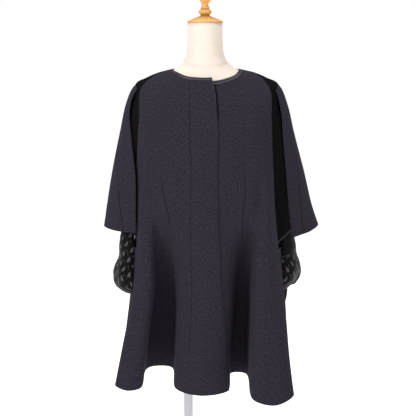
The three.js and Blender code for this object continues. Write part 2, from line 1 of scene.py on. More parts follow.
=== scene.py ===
"""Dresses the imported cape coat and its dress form: cloth, trim, linings, stitches and finishes."""

import logging
import math
from collections.abc import Callable, Iterator, Sequence
from contextlib import contextmanager
from dataclasses import dataclass
from enum import Enum

import bmesh
import bpy
import numpy as np
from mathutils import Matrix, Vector
from mathutils.bvhtree import BVHTree


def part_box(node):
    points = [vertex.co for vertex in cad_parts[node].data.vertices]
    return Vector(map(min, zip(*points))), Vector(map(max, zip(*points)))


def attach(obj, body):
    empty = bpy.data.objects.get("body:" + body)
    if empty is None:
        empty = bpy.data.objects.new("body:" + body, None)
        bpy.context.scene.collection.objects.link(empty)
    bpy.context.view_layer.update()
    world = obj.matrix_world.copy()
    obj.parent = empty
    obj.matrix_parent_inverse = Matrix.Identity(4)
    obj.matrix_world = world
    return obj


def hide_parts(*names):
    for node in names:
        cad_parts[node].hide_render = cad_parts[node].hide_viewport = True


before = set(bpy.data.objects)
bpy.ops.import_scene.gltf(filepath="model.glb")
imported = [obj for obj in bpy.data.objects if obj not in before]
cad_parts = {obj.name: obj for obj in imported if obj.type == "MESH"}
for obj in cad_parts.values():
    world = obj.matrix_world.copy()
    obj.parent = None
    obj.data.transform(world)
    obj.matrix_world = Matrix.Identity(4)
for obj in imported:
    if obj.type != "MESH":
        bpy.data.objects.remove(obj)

LOG = logging.getLogger("cape_coat")

MM = 0.001
BODY = "root"

# Thickness of each cloth, in millimetres
WOOL = 2.6
TRIM = 1.2
LINING = 1.2
LEATHER = 3.4
SEAM_GAP = 0.3
LIE_GAP = 0.35

# Rows of the coat, counted in sections, and its places, counted in fold lines
HEM_HEIGHT = 497.0
HEM_ROW = 12.0
SHOULDER_ROW = 3.0
UNDERARM_ROW = 8.0
BACK_UNDERARM_ROW = 7.5
BACK_UNDERARM_PLACE = 8.33
BINDING_ROW = 0.26
BINDING_FOOT = 0.252
NECK_DROP = 0.32
NECK_DROP_PLACES = (3.0, 6.0)
NECK_FADE_ROW = 3.0
NECK_DIP = 0.13
NECK_DIP_PLACE = -1.7
NECK_DIP_WIDTH = 1.1
SEAM_PLACE = 6.0
BACK_SEAM_PLACE = 9.0

# How the over front rises on to the under front, and how far from its edge the painted shadow of the gap
# below the neck lies
WEDGE = 3.2
OVERLAP = 52.0
UNDER_REACH = 48.0
BINDING_REACH = 46.0
OVERLAP_LIFT = LEATHER + LIE_GAP + 0.1
LIFT_RAMP = 45.0

# Mesh density: rows to a section, the widest column in millimetres, and the step for a slope in places
ROWS_PER_SECTION = 14
COLUMN = 5.0
SLOPE_STEP = 0.05

# Least gap between two points that a curve runs through, and slack where rows are compared
TINY = 1e-6

# Edges sharper than this many degrees stay sharp
SHARP_CLOTH = 62.0
SHARP_TURNED = 40.0


class Turn(Enum):
    """Rows between which a fold line turns from its angle on the yoke to the one on the body."""

    EARLY = (0.0, 4.0)
    LATE = (3.0, 5.5)


@dataclass(frozen=True)
class Section:
    """A plan of the coat without its folds, in millimetres, with its heights at three sides."""

    name: str
    mid: float
    half: float
    front: float
    back: float
    square: float
    front_height: float
    side_height: float
    back_height: float


@dataclass(frozen=True)
class FoldLine:
    """A fold line: its angles on yoke and body, its place at the hem, and how it grows."""

    name: str
    yoke: float
    body: float
    turn: Turn
    x: float
    y: float
    drop: float
    start: float
    rise: float


SECTIONS = (
    Section("neckline", 52, 93, 86, 62, 2.0, 1353, 1374, 1372),
    Section("collarbone", 54, 132, 104, 84, 2.1, 1318, 1365, 1345),
    Section("shoulder", 54, 168, 119, 101, 2.3, 1272, 1350, 1300),
    Section("shoulder_point", 55, 199, 131, 113, 2.5, 1223, 1331, 1246),
    Section("arm_top", 54, 209, 138, 119, 2.5, 1176, 1272, 1192),
    Section("chest", 53, 208, 142, 122, 2.4, 1128, 1190, 1134),
    Section("under_chest", 53, 209, 146, 128, 2.4, 1058, 1088, 1060),
    Section("waist", 53, 212, 150, 136, 2.4, 972, 979, 972),
    Section("underarm", 54, 215, 156, 146, 2.4, 884, 884, 884),
    Section("hip", 56, 220, 164, 158, 2.3, 792, 792, 792),
    Section("thigh", 54, 229, 173, 172, 2.3, 694, 694, 694),
    Section("knee", 49, 239, 182, 186, 2.3, 596, 596, 596),
    Section("hem", 46, 250, 190, 198, 2.3, 497, 497, 497),
)

FOLDS = (
    FoldLine("front_middle", 0, 0, Turn.EARLY, 36, -203, 0, 1130, 1),
    FoldLine("front_edge", 22, 16, Turn.EARLY, 112, -166, 0, 1060, 1.2),
    FoldLine("trough_left", 37, 25, Turn.EARLY, 126, -52, 10, 970, 1.4),
    FoldLine("trough_left_outer", 47, 31, Turn.EARLY, 163, -54, 10, 970, 1.4),
    FoldLine("lobe_left_inner", 58, 39, Turn.EARLY, 183, -250, 3, 1010, 1.4),
    FoldLine("lobe_left", 72, 50, Turn.EARLY, 236, -270, -2, 1120, 1),
    FoldLine("seam_left", 86, 63, Turn.EARLY, 290, -230, 10, 1000, 0.9),
    FoldLine("side_trough_left", 87, 83, Turn.EARLY, 262, -88, 6, 900, 1.2),
    FoldLine("side_left", 88, 99, Turn.LATE, 300, 18, 0, 900, 1),
    FoldLine("armhole_left", 89, 116, Turn.LATE, 240, 96, 4, 900, 1),
    FoldLine("back_lobe_left", 102, 134, Turn.EARLY, 214, 214, -4, 1080, 1),
    FoldLine("back_trough_left", 122, 149, Turn.EARLY, 140, 122, 8, 1000, 1.3),
    FoldLine("back_inner_left", 150, 165, Turn.EARLY, 98, 224, 0, 1040, 1.2),
    FoldLine("back_middle", 180, 180, Turn.EARLY, 38, 246, -2, 1080, 1),
    FoldLine("back_inner_right", 210, 196, Turn.EARLY, -24, 216, 0, 1010, 1.2),
    FoldLine("back_trough_right", 238, 211, Turn.EARLY, -52, 108, 8, 980, 1.3),
    FoldLine("back_lobe_right", 258, 226, Turn.EARLY, -126, 200, -4, 1090, 1),
    FoldLine("armhole_right", 271, 244, Turn.LATE, -160, 112, 3, 900, 1),
    FoldLine("side_right", 272, 261, Turn.LATE, -200, 30, 0, 880, 1),
    FoldLine("side_trough_right", 273, 277, Turn.EARLY, -162, -62, 5, 900, 1.2),
    FoldLine("seam_right", 274, 297, Turn.EARLY, -201, -155, 12, 900, 0.9),
    FoldLine("lobe_right", 288, 309, Turn.EARLY, -166, -182, 6, 1120, 1),
    FoldLine("lobe_right_inner", 302, 319, Turn.EARLY, -130, -168, 7, 1010, 1.4),
    FoldLine("trough_right_outer", 313, 325, Turn.EARLY, -114, -28, 18, 980, 1.4),
    FoldLine("trough_right", 323, 332, Turn.EARLY, -51, -24, 18, 980, 1.4),
    FoldLine("front_corner", 339, 341, Turn.EARLY, -30, -158, 1, 1060, 1.2),
)
ROUND = len(FOLDS)


def smoothstep(value: np.ndarray, low: float, high: float) -> np.ndarray:
    """A smooth rise from 0 at low to 1 at high."""
    share = np.clip((value - low) / (high - low), 0.0, 1.0)
    return share * share * (3.0 - 2.0 * share)


def bell(apart: np.ndarray, width: float) -> np.ndarray:
    """A bell curve: 1 where apart is 0, and 1/e a width away."""
    return np.exp(-((apart / width) ** 2))


def smooth_read(at: Sequence[float], values: Sequence[float], where: np.ndarray) -> np.ndarray:
    """Reads a short table at any point, along a smooth curve through its lines.

    Args:
        at: where each line of the table stands, rising.
        values: the value of each line.
        where: the points to read.

    Returns:
        The values there, held level past both ends.
    """
    x, y = np.asarray(at, float), np.asarray(values, float)
    where = np.clip(where, x[0], x[-1])
    slope = np.gradient(y, x)
    low = np.clip(np.searchsorted(x, where, side="right") - 1, 0, len(x) - 2)
    width = x[low + 1] - x[low]
    t = (where - x[low]) / width
    rise = y[low + 1] - y[low]
    start, end = slope[low] * width, slope[low + 1] * width
    return y[low] + t * (start + t * (3 * rise - 2 * start - end + t * (start + end - 2 * rise)))


class CoatSurface:
    """The coat's outer face in millimetres, by place round it and row down it."""

    def __init__(self, sections: Sequence[Section], folds: Sequence[FoldLine]) -> None:
        """Keeps the tables as arrays.

        Args:
            sections: plans of the coat from the neckline to the hem.
            folds: fold lines from the middle of the front round the coat.
        """
        names = ("mid", "half", "front", "back", "square")
        heights = ("front_height", "side_height", "back_height")
        self.plan = {n: np.array([getattr(s, n) for s in sections], float) for n in names + heights}
        fields = ("yoke", "body", "x", "y", "drop", "start", "rise")
        self.fold = {n: np.array([getattr(f, n) for f in folds], float) for n in fields}
        self.turn = np.array([f.turn.value for f in folds])

    def section(self, rows: np.ndarray) -> dict[str, np.ndarray]:
        """The plan at rows between two sections, each column along a smooth curve."""
        low = np.clip(np.floor(rows).astype(int), 0, len(SECTIONS) - 2)
        t = rows - low
        plan = {}
        for name, values in self.plan.items():
            a, b, c, d = (values[np.clip(low + k, 0, len(values) - 1)] for k in (-1, 0, 1, 2))
            bend = (2 * a - 5 * b + 4 * c - d) * t**2 + (3 * b - a - 3 * c + d) * t**3
            plan[name] = (b + 0.5 * ((c - a) * t + bend))[:, None]
        return plan

    @staticmethod
    def plan_points(plan: dict[str, np.ndarray], angles: np.ndarray) -> np.ndarray:
        """Points of rounded plans; angle 0 is the front and 90 the viewer's right."""
        turn = np.radians(angles)
        power = 2.0 / plan["square"]
        across = np.sign(np.sin(turn)) * np.abs(np.sin(turn)) ** power
        along = np.sign(np.cos(turn)) * np.abs(np.cos(turn)) ** power
        in_front = along > 0
        depth = np.where(in_front, plan["front"], plan["back"])
        face = np.where(in_front, plan["front_height"], plan["back_height"])
        z = plan["side_height"] + (face - plan["side_height"]) * np.cos(turn) ** 2
        return np.stack([plan["mid"] + plan["half"] * across, -depth * along, z], axis=-1)

    def fold_points(self, rows: np.ndarray) -> np.ndarray:
        """Each fold line at each row, as an array of rows, folds and coordinates."""
        fold = self.fold
        turned = smoothstep(rows[:, None], self.turn[:, 0], self.turn[:, 1])
        angles = fold["yoke"] + (fold["body"] - fold["yoke"]) * turned
        points = self.plan_points(self.section(rows), angles)
        below = (fold["start"] - points[..., 2]) / (fold["start"] - HEM_HEIGHT)
        grown = 1.0 - (1.0 - np.clip(below, 0.0, 1.0)) ** fold["rise"]
        rest = self.plan_points(self.section(np.array([HEM_ROW])), fold["body"][None, :])
        hem = np.stack([fold["x"], fold["y"], HEM_HEIGHT + fold["drop"]], axis=-1)
        return points + (hem[None] - rest) * grown[..., None]

    def grid(self, places: np.ndarray, rows: np.ndarray) -> np.ndarray:
        """Points for a grid of places, on closed centripetal curves.

        Args:
            places: places round the coat, one line for each row.
            rows: the rows, or a row for each point.

        Returns:
            An array of rows, columns and coordinates.
        """
        if rows.ndim == 2:
            return self.grid(places.reshape(-1, 1), rows.ravel()).reshape(*places.shape, 3)
        rings = self.fold_points(rows)
        start = np.floor(places).astype(int)
        t = (places - start)[..., None]
        before, here, after, beyond = (
            np.take_along_axis(rings, ((start + k) % ROUND)[..., None], axis=1) for k in (-1, 0, 1, 2)
        )
        gaps = [np.sqrt(np.linalg.norm(b - a, axis=-1, keepdims=True)) for a, b in
                ((before, here), (here, after), (after, beyond))]
        g0, g1, g2 = (np.maximum(gap, TINY) for gap in gaps)
        leave = ((here - before) / g0 - (after - before) / (g0 + g1) + (after - here) / g1) * g1
        arrive = ((after - here) / g1 - (beyond - here) / (g1 + g2) + (beyond - after) / g2) * g1
        rise = after - here
        return here + t * (leave + t * (3 * rise - 2 * leave - arrive + t * (leave + arrive - 2 * rise)))

    def outward(self, places: np.ndarray, rows: np.ndarray) -> np.ndarray:
        """Unit directions out of the coat's face, for a grid of places."""
        across = self.grid(places + SLOPE_STEP, rows) - self.grid(places - SLOPE_STEP, rows)
        low = self.grid(places, np.minimum(rows + SLOPE_STEP, HEM_ROW))
        high = self.grid(places, np.maximum(rows - SLOPE_STEP, 0.0))
        normal = np.cross(low - high, across)
        return normal / np.linalg.norm(normal, axis=-1, keepdims=True)

    def span(self, places: np.ndarray, rows: np.ndarray) -> np.ndarray:
        """Millimetres to one place, at one place for each row."""
        ends = [self.grid((places + k * SLOPE_STEP)[:, None], rows)[:, 0] for k in (-1, 1)]
        return np.linalg.norm(ends[1] - ends[0], axis=-1) / (2 * SLOPE_STEP)

    def moved(self, places: np.ndarray, rows: np.ndarray, distance: float) -> np.ndarray:
        """One place for each row, moved round the coat by a distance."""
        return places + distance / self.span(places, rows)


COAT = CoatSurface(SECTIONS, FOLDS)


@dataclass(frozen=True)
class Crease:
    """A soft ridge, or a trough where height is negative, laid on the coat.

    place is where its head lies, drift how far it has moved at its foot, head and foot
    are rows, and width, height and sway are millimetres. One that runs to the hem comes
    in over the first shares of its length, and others fade at both ends.
    """

    place: float
    drift: float
    head: float
    foot: float
    width: float
    height: float
    sway: float = 0.0

    def centre(self, rows: np.ndarray) -> np.ndarray:
        """The place of its middle at each row, without its sway."""
        return self.place + self.drift * (rows - self.head) / (self.foot - self.head)

    def relief(self, places: np.ndarray, rows: np.ndarray) -> np.ndarray:
        """Its height over a grid of places, in millimetres."""
        share = np.clip((rows - self.head) / (self.foot - self.head), 0.0, 1.0)
        to_hem = self.foot >= HEM_ROW
        fade = smoothstep(share, 0.0, CREASE_COME) if to_hem else np.sin(math.pi * share) ** CREASE_FADE
        middle = self.centre(rows)
        apart = (places - middle[:, None] + ROUND / 2) % ROUND - ROUND / 2
        millimetres = apart * COAT.span(middle, rows)[:, None]
        millimetres = millimetres + (self.sway * np.sin(CREASE_SWAYS * share + self.place))[:, None]
        return self.height * fade[:, None] * bell(millimetres, self.width)


# How a crease comes in above the hem, fades at both ends, and sways on its way down
CREASE_COME = 0.55
CREASE_FADE = 0.8
CREASE_SWAYS = 5.0

# The creases of fronts, sides and back, the strongest first
# The columns are place, drift, head, foot, width, height and sway, as in Crease
CREASES = tuple(Crease(*line) for line in (
    (-4.2, -1.2, 4.7, 7.5, 9, 4.2, 1),
    (-3.9, -1.0, 4.9, 7.0, 7, -2.2, 1),
    (4.3, 0.8, 4.9, 6.9, 9, 3.2, 1),
    (7.9, -0.9, 8.8, 10.3, 17, 13.0, 2),
    (7.5, -0.8, 9.9, 11.2, 13, -4.0, 2),
    (-4.6, 0.2, 3.6, 8.5, 17, 3.0, 4),
    (-1.9, 0.5, 2.2, 5.4, 12, 1.8, 3),
    (2.9, 0.4, 2.0, 5.2, 12, 1.7, 3),
    (-3.5, 0.3, 4.6, 7.6, 9, -2.4, 3),
    (-2.9, -0.1, 7.0, 12.0, 13, 1.8, 4),
    (-5.2, 0.1, 7.6, 11.6, 11, -2.2, 5),
    (-0.7, 0.1, 4.2, 9.8, 14, -1.6, 4),
    (-0.1, 0.1, 8.6, 12.0, 12, 1.6, 5),
    (0.9, 0.4, 5.6, 11.0, 10, -1.8, 4),
    (2.2, -0.1, 4.4, 6.8, 9, -2.4, 3),
    (3.5, 0.1, 3.6, 8.0, 17, 3.2, 4),
    (4.7, 0.1, 7.0, 12.0, 15, -2.0, 6),
    (5.4, -0.1, 8.4, 12.0, 10, 1.8, 4),
    (7.2, 0.2, 8.6, 11.8, 11, -2.4, 5),
    (8.2, 0.1, 8.4, 10.4, 9, 2.6, 6),
    (8.9, -0.6, 8.3, 10.2, 8, -2.4, 5),
    (10.6, 0.2, 4.0, 9.0, 16, 2.8, 5),
    (11.6, 0.1, 4.6, 8.6, 11, -2.6, 4),
    (12.6, 0.2, 6.4, 12.0, 13, 2.0, 6),
    (13.4, -0.2, 3.4, 8.8, 12, -1.6, 5),
    (14.3, 0.1, 7.0, 12.0, 12, -1.8, 5),
    (15.4, -0.2, 4.8, 8.6, 11, -2.6, 4),
    (16.2, 0.2, 4.2, 9.2, 16, 2.6, 5),
    (17.3, 0.1, 8.4, 11.6, 10, -2.2, 5),
    (18.4, -0.2, 8.5, 11.8, 11, 2.2, 5),
))


def relief(places: np.ndarray, rows: np.ndarray) -> np.ndarray:
    """All creases together over a grid of places, in millimetres."""
    return sum((crease.relief(places, rows) for crease in CREASES), np.zeros(places.shape))


@dataclass(frozen=True)
class Line:
    """A line down a panel that its columns follow, with the groove that its seam or fold makes.

    groove is its depth in millimetres, and shade its painted shade, or its painted highlight where negative.
    wide is its width as a share of SEAM_WIDTH.
    """

    place: Callable[[np.ndarray], np.ndarray]
    groove: float = 0.0
    shade: float = 0.0
    head: float = -1.0
    foot: float = HEM_ROW + 1.0
    wide: float = 1.0

    def fade(self, rows: np.ndarray) -> np.ndarray:
        """Its strength at each row, fading at its ends."""
        come = smoothstep(rows, self.head, self.head + LINE_FADE)
        return come * (1.0 - smoothstep(rows, self.foot - LINE_FADE, self.foot))


# Millimetres from a seam line, and from a free edge, where a panel gets extra columns and rows
SEAM_COLUMNS = (-2.6, -1.2, -0.5, 0.0, 0.5, 1.2, 2.6)
EDGE_COLUMNS = (0.0, 0.5, 1.4)
SEAM_WIDTH = 0.9

# How deep a free edge is rounded, its share at the last two rows, and the rows that a line takes to fade
RIM = 0.9
RIM_SHARES = (0.4, 1.0)
LINE_FADE = 0.35

# Rows of the coat to a millimetre at a free foot
FOOT_MILLIMETRE = 1.0 / 90.0


@dataclass(frozen=True)
class Columns:
    """The columns of a panel: their places, the depth of grooves, the rounding of free edges and their
    painted shade.
    """

    places: np.ndarray
    groove: np.ndarray
    rim: np.ndarray
    shade: np.ndarray


def panel_columns(rows: np.ndarray, lines: Sequence[Line]) -> Columns:
    """Spreads columns between the lines of a panel, closer beside each line.

    Args:
        rows: the rows of the panel.
        lines: its lines in the order of their places, the first and last being its edges.

    Returns:
        The columns.
    """
    places, grooves, rims, shades = [], [], [], []
    for number, line in enumerate(lines):
        first, last = number == 0, number == len(lines) - 1
        offsets = EDGE_COLUMNS if first or last else SEAM_COLUMNS
        if last:
            offsets = tuple(-offset for offset in reversed(offsets))
        middle = line.place(rows)
        span = COAT.span(middle, rows)
        own = [middle + line.wide * offset / span for offset in offsets]
        if places:
            gap = float(np.max((own[0] - places[-1]) * span))
            count = max(1, math.ceil(gap / COLUMN))
            for k in range(1, count):
                places.append(places[-1] + (own[0] - places[-1]) / (count - k + 1))
                grooves.append(np.zeros(len(rows)))
                shades.append(np.zeros(len(rows)))
                rims.append(0.0)
        for offset, place in zip(offsets, own):
            places.append(place)
            near = math.exp(-((offset / SEAM_WIDTH) ** 2))
            grooves.append(line.groove * line.fade(rows) * near)
            # Painted shade, or painted highlight where negative, fading away from the line
            shades.append(line.shade * line.fade(rows) * near)
            edge = 1.0 - abs(offset) / EDGE_COLUMNS[-1]
            rims.append(max(edge, 0.0) ** 2 if first or last else 0.0)
    stacked = [np.stack(part, axis=1) for part in (places, grooves, shades)]
    return Columns(stacked[0], stacked[1], np.array(rims), stacked[2])


def coat_rows(head: float, foot: float) -> np.ndarray:
    """Rows from head to foot, with closer ones at the free foot for its rounded edge."""
    rows = np.linspace(head, foot, max(2, math.ceil((foot - head) * ROWS_PER_SECTION)) + 1)
    return np.concatenate([rows[:-1], foot - FOOT_MILLIMETRE * np.array(EDGE_COLUMNS[::-1])])


def foot_rim(rows: np.ndarray) -> np.ndarray:
    """Rounding of the last rows at a free foot, as rim of Columns is for its edges."""
    rim = np.zeros(len(rows))
    rim[-len(RIM_SHARES) :] = RIM_SHARES
    return rim


def metres_map(points: np.ndarray) -> np.ndarray:
    """A flat map of a grid of points in metres: along each row, and down each column."""
    across = np.zeros(points.shape[:2])
    across[:, 1:] = np.cumsum(np.linalg.norm(np.diff(points, axis=1), axis=-1), axis=1)
    across -= across.mean(axis=1, keepdims=True)
    down = np.zeros(points.shape[:2])
    down[1:] = np.cumsum(np.linalg.norm(np.diff(points, axis=0), axis=-1), axis=0)
    return np.stack([across, -down], axis=-1) * MM


def cloth_wall(
    name: str,
    outer: np.ndarray,
    inner: np.ndarray,
    closed: bool = False,
    holds: np.ndarray | None = None,
    marks: dict[str, np.ndarray] | None = None,
) -> bpy.types.Object:
    """A closed wall of cloth between two grids of points.

    Args:
        name: the piece's name.
        outer: the outer face, as rows, columns and millimetres.
        inner: the inner face, point for point under the outer one.
        closed: True where the last column meets the first.
        holds: the cells that exist, where some don't.
        marks: values for the shader on the grid's points, by attribute name.

    Returns:
        The piece, with a flat map in metres named cloth.
    """
    count, width = outer.shape[:2]
    total = count * width
    index = np.arange(total).reshape(count, width)
    flat = metres_map(outer)
    left, right = (index, np.roll(index, -1, axis=1)) if closed else (index[:, :-1], index[:, 1:])
    near, far = (flat, np.roll(flat, -1, axis=1)) if closed else (flat[:, :-1], flat[:, 1:])
    if closed:
        far = far.copy()
        step = np.linalg.norm(outer[:, 0] - outer[:, -1], axis=-1) * MM
        far[:, -1, 0] = near[:, -1, 0] + step
    cells = np.stack([left[:-1], left[1:], right[1:], right[:-1]], axis=-1).reshape(-1, 4)
    maps = np.stack([near[:-1], near[1:], far[1:], far[:-1]], axis=2).reshape(-1, 4, 2)
    if holds is not None:
        cells, maps = cells[holds.ravel()], maps[holds.ravel()]
    starts, ends = cells.ravel(), np.roll(cells, -1, axis=1).ravel()
    free = ~np.isin(starts * total + ends, ends * total + starts)
    first, second = starts[free], ends[free]
    rim = np.stack([second, first, first + total, second + total], axis=-1)
    corner = maps.reshape(-1, 2)[free]
    onward = np.roll(maps, -1, axis=1).reshape(-1, 2)[free]
    rim_maps = np.stack([onward, corner, corner, onward], axis=1)
    faces = np.concatenate([cells, cells[:, ::-1] + total, rim])
    corners = np.concatenate([maps, maps[:, ::-1], rim_maps])
    points = np.concatenate([outer.reshape(-1, 3), inner.reshape(-1, 3)]) * MM
    used, renumbered = np.unique(faces, return_inverse=True)
    piece = mesh_piece(name, points[used], renumbered.reshape(faces.shape), corners)
    for label, values in (marks or {}).items():
        mark_points(piece, label, np.tile(values.ravel(), 2)[used])
    return piece


def linked(name: str, data: bpy.types.ID) -> bpy.types.Object:
    """A new object in the scene."""
    made = bpy.data.objects.new(name, data)
    bpy.context.scene.collection.objects.link(made)
    return made


def mark_points(piece: bpy.types.Object, label: str, values: np.ndarray) -> None:
    """Gives each point of a piece a number that its material reads."""
    layer = piece.data.attributes.new(label, "FLOAT", "POINT")
    layer.data.foreach_set("value", values.astype(np.float32))


def mesh_piece(
    name: str, points: np.ndarray, faces: np.ndarray, corners: np.ndarray | None = None
) -> bpy.types.Object:
    """A smooth mesh object from points in metres and faces of one size."""
    mesh = bpy.data.meshes.new(name)
    mesh.from_pydata(points.tolist(), [], faces.tolist())
    if corners is not None:
        layer = mesh.uv_layers.new(name="cloth")
        layer.data.foreach_set("uv", corners.astype(np.float32).ravel())
    mesh.shade_smooth()
    mesh.set_sharp_from_angle(angle=math.radians(SHARP_CLOTH))
    return linked(name, mesh)


def srgb(red: float, green: float, blue: float) -> tuple[float, float, float, float]:
    """A colour from its eight-bit screen values, as the shader takes it."""
    values = [c / 255.0 for c in (red, green, blue)]
    linear = [c / 12.92 if c <= 0.04045 else ((c + 0.055) / 1.055) ** 2.4 for c in values]
    return (*linear, 1.0)


class Graph:
    """A node tree that is being wired."""

    def __init__(self, tree: bpy.types.NodeTree) -> None:
        """Starts on an empty tree."""
        self.tree = tree
        tree.nodes.clear()

    def node(
        self, kind: str, feeds: dict[str | int, object] | None = None, **settings: object
    ) -> bpy.types.Node:
        """Adds a node.

        Args:
            kind: its type.
            feeds: links or plain values for its inputs, by name or number.
            settings: its properties.

        Returns:
            The node.
        """
        made = self.tree.nodes.new(kind)
        for name, value in settings.items():
            setattr(made, name, value)
        for name, value in (feeds or {}).items():
            self.feed(made.inputs[name], value)
        return made

    def split(self, vector: bpy.types.NodeSocket) -> tuple[bpy.types.NodeSocket, ...]:
        """The three coordinates of a vector."""
        return tuple(self.node("ShaderNodeSeparateXYZ", {0: vector}).outputs)

    def feed(self, socket: bpy.types.NodeSocket, value: object) -> None:
        """Links an output into a socket, or sets the socket to a plain value."""
        if isinstance(value, bpy.types.NodeSocket):
            self.tree.links.new(value, socket)
        elif value is not None:
            socket.default_value = value

    def math(self, operation: str, *values: object) -> bpy.types.NodeSocket:
        """The result of a Math node."""
        return self.node("ShaderNodeMath", dict(enumerate(values)), operation=operation).outputs[0]

    def wave(self, value: object) -> bpy.types.NodeSocket:
        """The size of a value's sine: humps from 0 to 1."""
        return self.math("ABSOLUTE", self.math("SINE", value))

    def blend(self, first: object, share: object, second: object, other: object) -> bpy.types.NodeSocket:
        """Two values added, the first by its share and the second by the other."""
        return self.math("MULTIPLY_ADD", first, share, self.math("MULTIPLY", second, other))

    def step(self, value: object, low: float, high: float) -> bpy.types.NodeSocket:
        """A smooth step from 0 at low to 1 at high, or from 1 to 0 where low is the larger."""
        ends = (low, high, 0.0, 1.0) if low < high else (high, low, 1.0, 0.0)
        feeds = {"Value": value, **dict(zip(("From Min", "From Max", "To Min", "To Max"), ends))}
        return self.node("ShaderNodeMapRange", feeds, interpolation_type="SMOOTHSTEP").outputs[0]

    def noise(self, vector: object, scale: object, detail: float, roughness: float) -> bpy.types.NodeSocket:
        """The value of a Noise Texture."""
        feeds = {"Vector": vector, "Scale": scale, "Detail": detail, "Roughness": roughness}
        return self.node("ShaderNodeTexNoise", feeds).outputs[0]

    def cells(self, vector: object, scale: object, feature: str) -> bpy.types.NodeSocket:
        """The distance to the middle of the nearest cell of a Voronoi Texture."""
        made = self.node("ShaderNodeTexVoronoi", {"Vector": vector, "Scale": scale}, feature=feature)
        return made.outputs["Distance"]

    def mix(self, share: object, first: object, second: object) -> bpy.types.NodeSocket:
        """A colour between two."""
        return self.node("ShaderNodeMix", {0: share, 6: first, 7: second}, data_type="RGBA").outputs[2]


@dataclass(frozen=True)
class Oval:
    """An oval of a printed motif: its middle, its long way in degrees and its half sizes, in repeats."""

    x: float
    y: float
    angle: float
    length: float
    width: float


# Where an oval's edge starts and ends, as the square of its own size
SPRIG_EDGE = (1.15, 0.8)


def sprig_shapes() -> list[Oval]:
    """The sprig's stem, three pairs of leaves, its bud, and two dots beside it."""
    shapes = [Oval(0.0, -0.06, 90.0, 0.26, 0.014)]
    for pair in range(3):
        height, spread = -0.16 + 0.13 * pair, 0.115 - 0.02 * pair
        shapes += [Oval(side * spread, height, 90.0 - side * 38.0, 0.085, 0.035) for side in (-1, 1)]
    dots = [Oval(0.38, 0.36, 0.0, 0.05, 0.045), Oval(-0.36, -0.40, 0.0, 0.035, 0.03)]
    return [*shapes, Oval(0.0, 0.25, 90.0, 0.08, 0.034), *dots]


